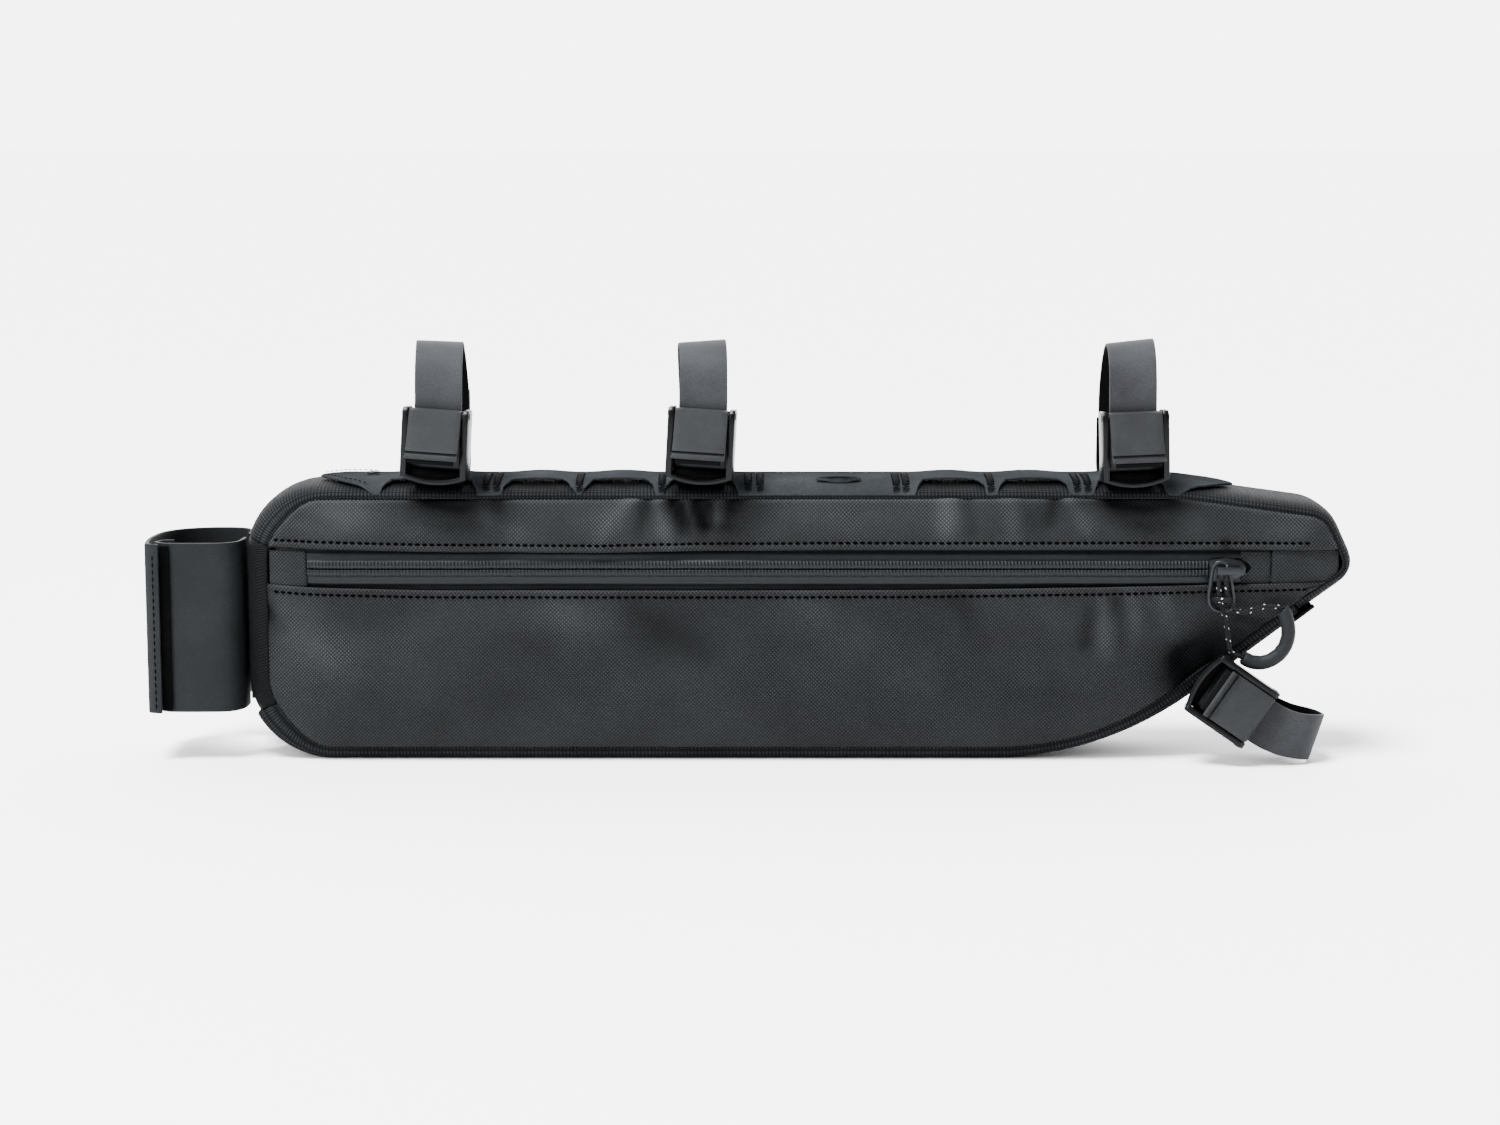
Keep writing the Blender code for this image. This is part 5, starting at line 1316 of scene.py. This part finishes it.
# The slider's outline: x and z from its middle in mm
SLIDER_SHAPE = (
    (-7.2, 4.0), (-1.0, 4.8), (6.0, 3.6), (7.6, 1.6), (7.6, -2.0), (1.2, -4.7), (-7.2, -4.7),
)
# The ring's wire: x from the slider and z from the zip in mm, and its share of the drop to the panel
RING_SHAPE = (
    (-0.5, 2.4, 0.0), (-2.6, 3.4, 0.0), (-5.1, 2.8, 0.0), (-6.5, 0.2, 0.0), (-7.1, -5.2, 0.0),
    (-7.5, -8.5, 0.6), (-7.6, -12.0, 1.0), (-6.8, -15.0, 1.0), (-4.3, -16.9, 1.0), (-0.9, -17.1, 1.0),
    (1.6, -15.9, 1.0), (2.5, -13.3, 1.0), (2.2, -8.8, 0.6), (1.5, -5.2, 0.0), (0.4, -0.5, 0.0),
)
SLIDER_BODY, SLIDER_HIGH, BRIDGE_BAR, WIRE = 0.0018, 0.0052, 0.0013, 0.0018


def build_slider():
    """Slider with its bridge on two posts, and the wire ring round the left post."""
    back = -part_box("zip_slider")[1][1]
    body = plate("slider_body", in_metres(SLIDER_SHAPE), SLIDER_BODY, ZINC, 0.5 * MM)
    body.data.transform(Matrix.Translation((SLIDER_BODY / 2, 0, 0)))
    first, last, half = -0.0044, 0.0062, 0.0016
    pieces = [body]
    for low, high, start, end, look in (
        (first, first + 1.3 * MM, SLIDER_BODY / 2, SLIDER_HIGH - 0.4 * MM, ZINC),
        (last - 1.3 * MM, last, SLIDER_BODY / 2, SLIDER_HIGH - 0.4 * MM, ZINC),
        (first - 0.2 * MM, last + 0.2 * MM, SLIDER_HIGH - BRIDGE_BAR, SLIDER_HIGH, BRIDGE),
    ):
        corners = ((low, -half), (low, half), (high, half), (high, -half))
        post = plate("bridge", corners, end - start, look, 0.35 * MM)
        post.data.transform(Matrix.Translation(((start + end) / 2, 0, 0)))
        pieces.append(post)
    slider = joined("slider", pieces)
    facing = Matrix.Rotation(math.radians(-90), 4, "Z")
    slider.data.transform(Matrix.Translation((SLIDER_X, -back, ZIP)) @ facing)
    dress(slider, "coated_metal", "zip_slider")
    above = -(back + SLIDER_BODY + (SLIDER_HIGH - BRIDGE_BAR - SLIDER_BODY) / 2)
    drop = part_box("pull_ring")[1][1] - WIRE / 2 - 0.3 * MM - above
    points = [Vector((SLIDER_X + x * MM, above + drop * share, ZIP + z * MM)) for x, z, share in RING_SHAPE]
    path = smooth_path([points[-1], *points, points[0]], 0.5 * MM)[1:]
    near = [p for p in path if (p - path[0]).length > 0.3 * MM or p == path[0]]
    dress(tube("ring_wire", near, WIRE / 2, 10, ZINC, closed=True), "coated_metal", "pull_ring")


def sewn(name, path, outward, pitch, dash, wide, slot):
    """A row of stitches along a path, each copied from one thread end to end of a dash."""
    bpy.ops.object.select_all(action="DESELECT")
    bpy.ops.mesh.primitive_uv_sphere_add(segments=8, ring_count=6, radius=0.5)
    master = bpy.context.object
    shape = np.array([v.co for v in master.data.vertices])
    faces = [tuple(f.vertices) for f in master.data.polygons]
    bpy.data.objects.remove(master)
    runs = np.concatenate([[0.0], np.cumsum([(b - a).length for a, b in zip(path, path[1:])])])
    line = np.array(path)
    points, all_faces = [], []
    for k in range(int((runs[-1] - dash) / pitch) + 1):
        stitch = (k * pitch, k * pitch + dash)
        ends = [Vector([np.interp(at, runs, line[:, i]) for i in range(3)]) for at in stitch]
        along = (ends[1] - ends[0]).normalized()
        out = outward.normalized()
        out = (out - along * out.dot(along)).normalized()
        axes = np.array([along * dash * 1.1, along.cross(out) * wide, out * wide * 0.9])
        start = len(points)
        points += [tuple(p) for p in shape[:, (2, 0, 1)] @ axes + np.array(ends[0].lerp(ends[1], 0.5))]
        all_faces += [tuple(start + i for i in face) for face in faces]
    mesh = bpy.data.meshes.new(name)
    mesh.from_pydata(points, [], all_faces)
    fixed = bmesh.new()
    fixed.from_mesh(mesh)
    bmesh.ops.recalc_face_normals(fixed, faces=fixed.faces)
    fixed.to_mesh(mesh)
    fixed.free()
    mesh.shade_smooth()
    dress(linked(name, mesh, THREAD), slot)


def build_zip_stitches():
    """Stitch rows above and below the zip, in the groove inside each hem."""
    top, low_edge = zip_edge(NOSE_X, 1) + 5.5 * MM, zip_edge(NOSE_X, -1) - 5.5 * MM
    left, reach = SEAM[:, 0].min() + 4.0 * MM, reach_of(lambda low, high: high > top and low < low_edge)
    for name, way in (("zip_stitches_upper", 1), ("zip_stitches_lower", -1)):
        path = []
        for x in steps_between(left, reach, 2.0 * MM):
            z = zip_edge(x, way) + way * STITCH_ROW
            depth = float(front_depth(np.array([x]), np.array([z]))[0]) - 0.1 * MM
            path.append(Vector((x, -depth, z)))
        sewn(name, path, Vector((0, -1, 0)), 3.0 * MM, 2.0 * MM, 1.25 * MM, "coated_fabric")


def front_of(obj):
    """A function for the frontmost point of a piece at a place in x and z."""
    mesh = obj.data
    tree = BVHTree.FromPolygons([v.co for v in mesh.vertices], [f.vertices for f in mesh.polygons])
    return lambda x, z: tree.ray_cast(Vector((x, -0.2, z)), Vector((0, 1, 0)))[0]


def build_garage_slot():
    """A black half-round sheet over the garage behind the slider, painted shadow of its mouth."""
    centre, rows, marks = seen(*GARAGE_MOUTH), [], []
    for ring in (0.02, 0.35, 0.7, 0.92, 1.0):
        row, mark = [], []
        for k in range(33):
            angle = math.radians(-100 + 200 * k / 32)
            x = centre[0] + 6.6 * MM * ring * math.cos(angle)
            z = centre[1] + 4.1 * MM * ring * math.sin(angle)
            depth = float(tape_depth(np.array([x]), np.array([z]))[0]) + (0.52 - 0.25 * ring**4) * MM
            row.append(Vector((x, -depth, z)))
            mark.append((x, z))
        rows.append(row)
        marks.append(mark)
    dress(thicken(cloth_mesh("garage_mouth_shadow", rows, marks, MOUTH_SHADOW, flip=True), 0.3 * MM), "coated_fabric")


def build_flap_stitches(leaf):
    """A row of stitches down the wrap's flap, beside the hook tape."""
    low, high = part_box("wrap_front")
    at = front_of(leaf)
    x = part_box("wrap_back")[0][0] + 5.2 * MM
    path = [at(x, low[2] + (0.03 + 0.94 * k / 40) * (high[2] - low[2])) for k in range(41)]
    path = [p for p in path if p]
    sewn("flap_stitches", path, Vector((0, -1, 0)), 3.0 * MM, 1.9 * MM, 0.7 * MM, "wrap_fabric")


# Bar tacks over the rail's tongues, as places across the photograph, and the row that they lie in
TACK_ROW = 480
TACKS = (488, 498, 581, 663, 748, 760, 896, 906, 990, 1076, 1087)


def build_tacks():
    """Zigzag bar tacks that hold the rail's tongues to the gusset."""
    for number, px in enumerate(TACKS, 1):
        x = seen(px, TACK_ROW, 0.022)[0]
        path = []
        for k in range(45):
            y = -(0.0030 + 0.0212 * k / 44)
            here = rail_top(x, y)
            out = Vector((0, -eased((-y - 0.014) / 0.010), 1.0)).normalized()
            path.append(here + Vector(((k % 2 - 0.5) * 2.5 * MM, 0, 0)) + out * 0.65 * MM)
        dress(tube(f"bar_tack_{number}", path, 0.42 * MM, 6, TACK_THREAD), "woven_fabric")


def build_trim():
    """Badge, eyelet and nose tab."""
    low, high = (Vector(corner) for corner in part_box("rail_badge"))
    badge = rounded(cad_copy("badge_blank", "rail_badge", BADGE), 0.15 * MM, 2)
    badge.data.materials.append(CUT_EDGE)
    for face in badge.data.polygons:
        away = 2 * (face.center - (low + high) / 2)
        face.material_index = int(math.hypot(away.x / (high.x - low.x), away.y / (high.y - low.y)) > 0.9)
    dress(badge, "moulded_rail", "rail_badge")
    eyelet = rounded(cad_copy("eyelet_brass", "rail_eyelet", EYELET), 0.2 * MM, 1)
    dress(eyelet, "coated_metal", "rail_eyelet")
    tab = rounded(cad_copy("nose_tab_webbing", "nose_tab", WEBBING), 0.3 * MM, 1)
    dress(tab, "webbing", "nose_tab")
    cloth(tab, (TAB_WIDE, cut_length(tab, TAB_WIDE)), "folded", "top_gusset")


def build_rail_stitches():
    """Stitches along both edges of the rail's left point."""
    for name, side in (("leaf_stitches_front", -1), ("leaf_stitches_back", 1)):
        path = []
        for k in range(40):
            along = 0.002 + 0.021 * k / 39
            aside = max(rail_half(along)[0] - 2.0 * MM, 0.5 * MM)
            path.append(rail_top(RAIL_START + along, -side * aside) + Vector((0, 0, 0.75 * MM)))
        sewn(name, path, Vector((0, -0.5, 1)), 2.6 * MM, 1.6 * MM, 0.5 * MM, "moulded_rail")


place_camera()
studio()
build_cord()
build_panels()
build_gusset()
build_tapes()
build_zip_ends()
build_rail()
build_straps()
leaves = build_wrap()
build_buckles()
build_slider()
build_garage_slot()
build_zip_stitches()
build_flap_stitches(leaves[1])
build_tacks()
build_trim()
build_rail_stitches()
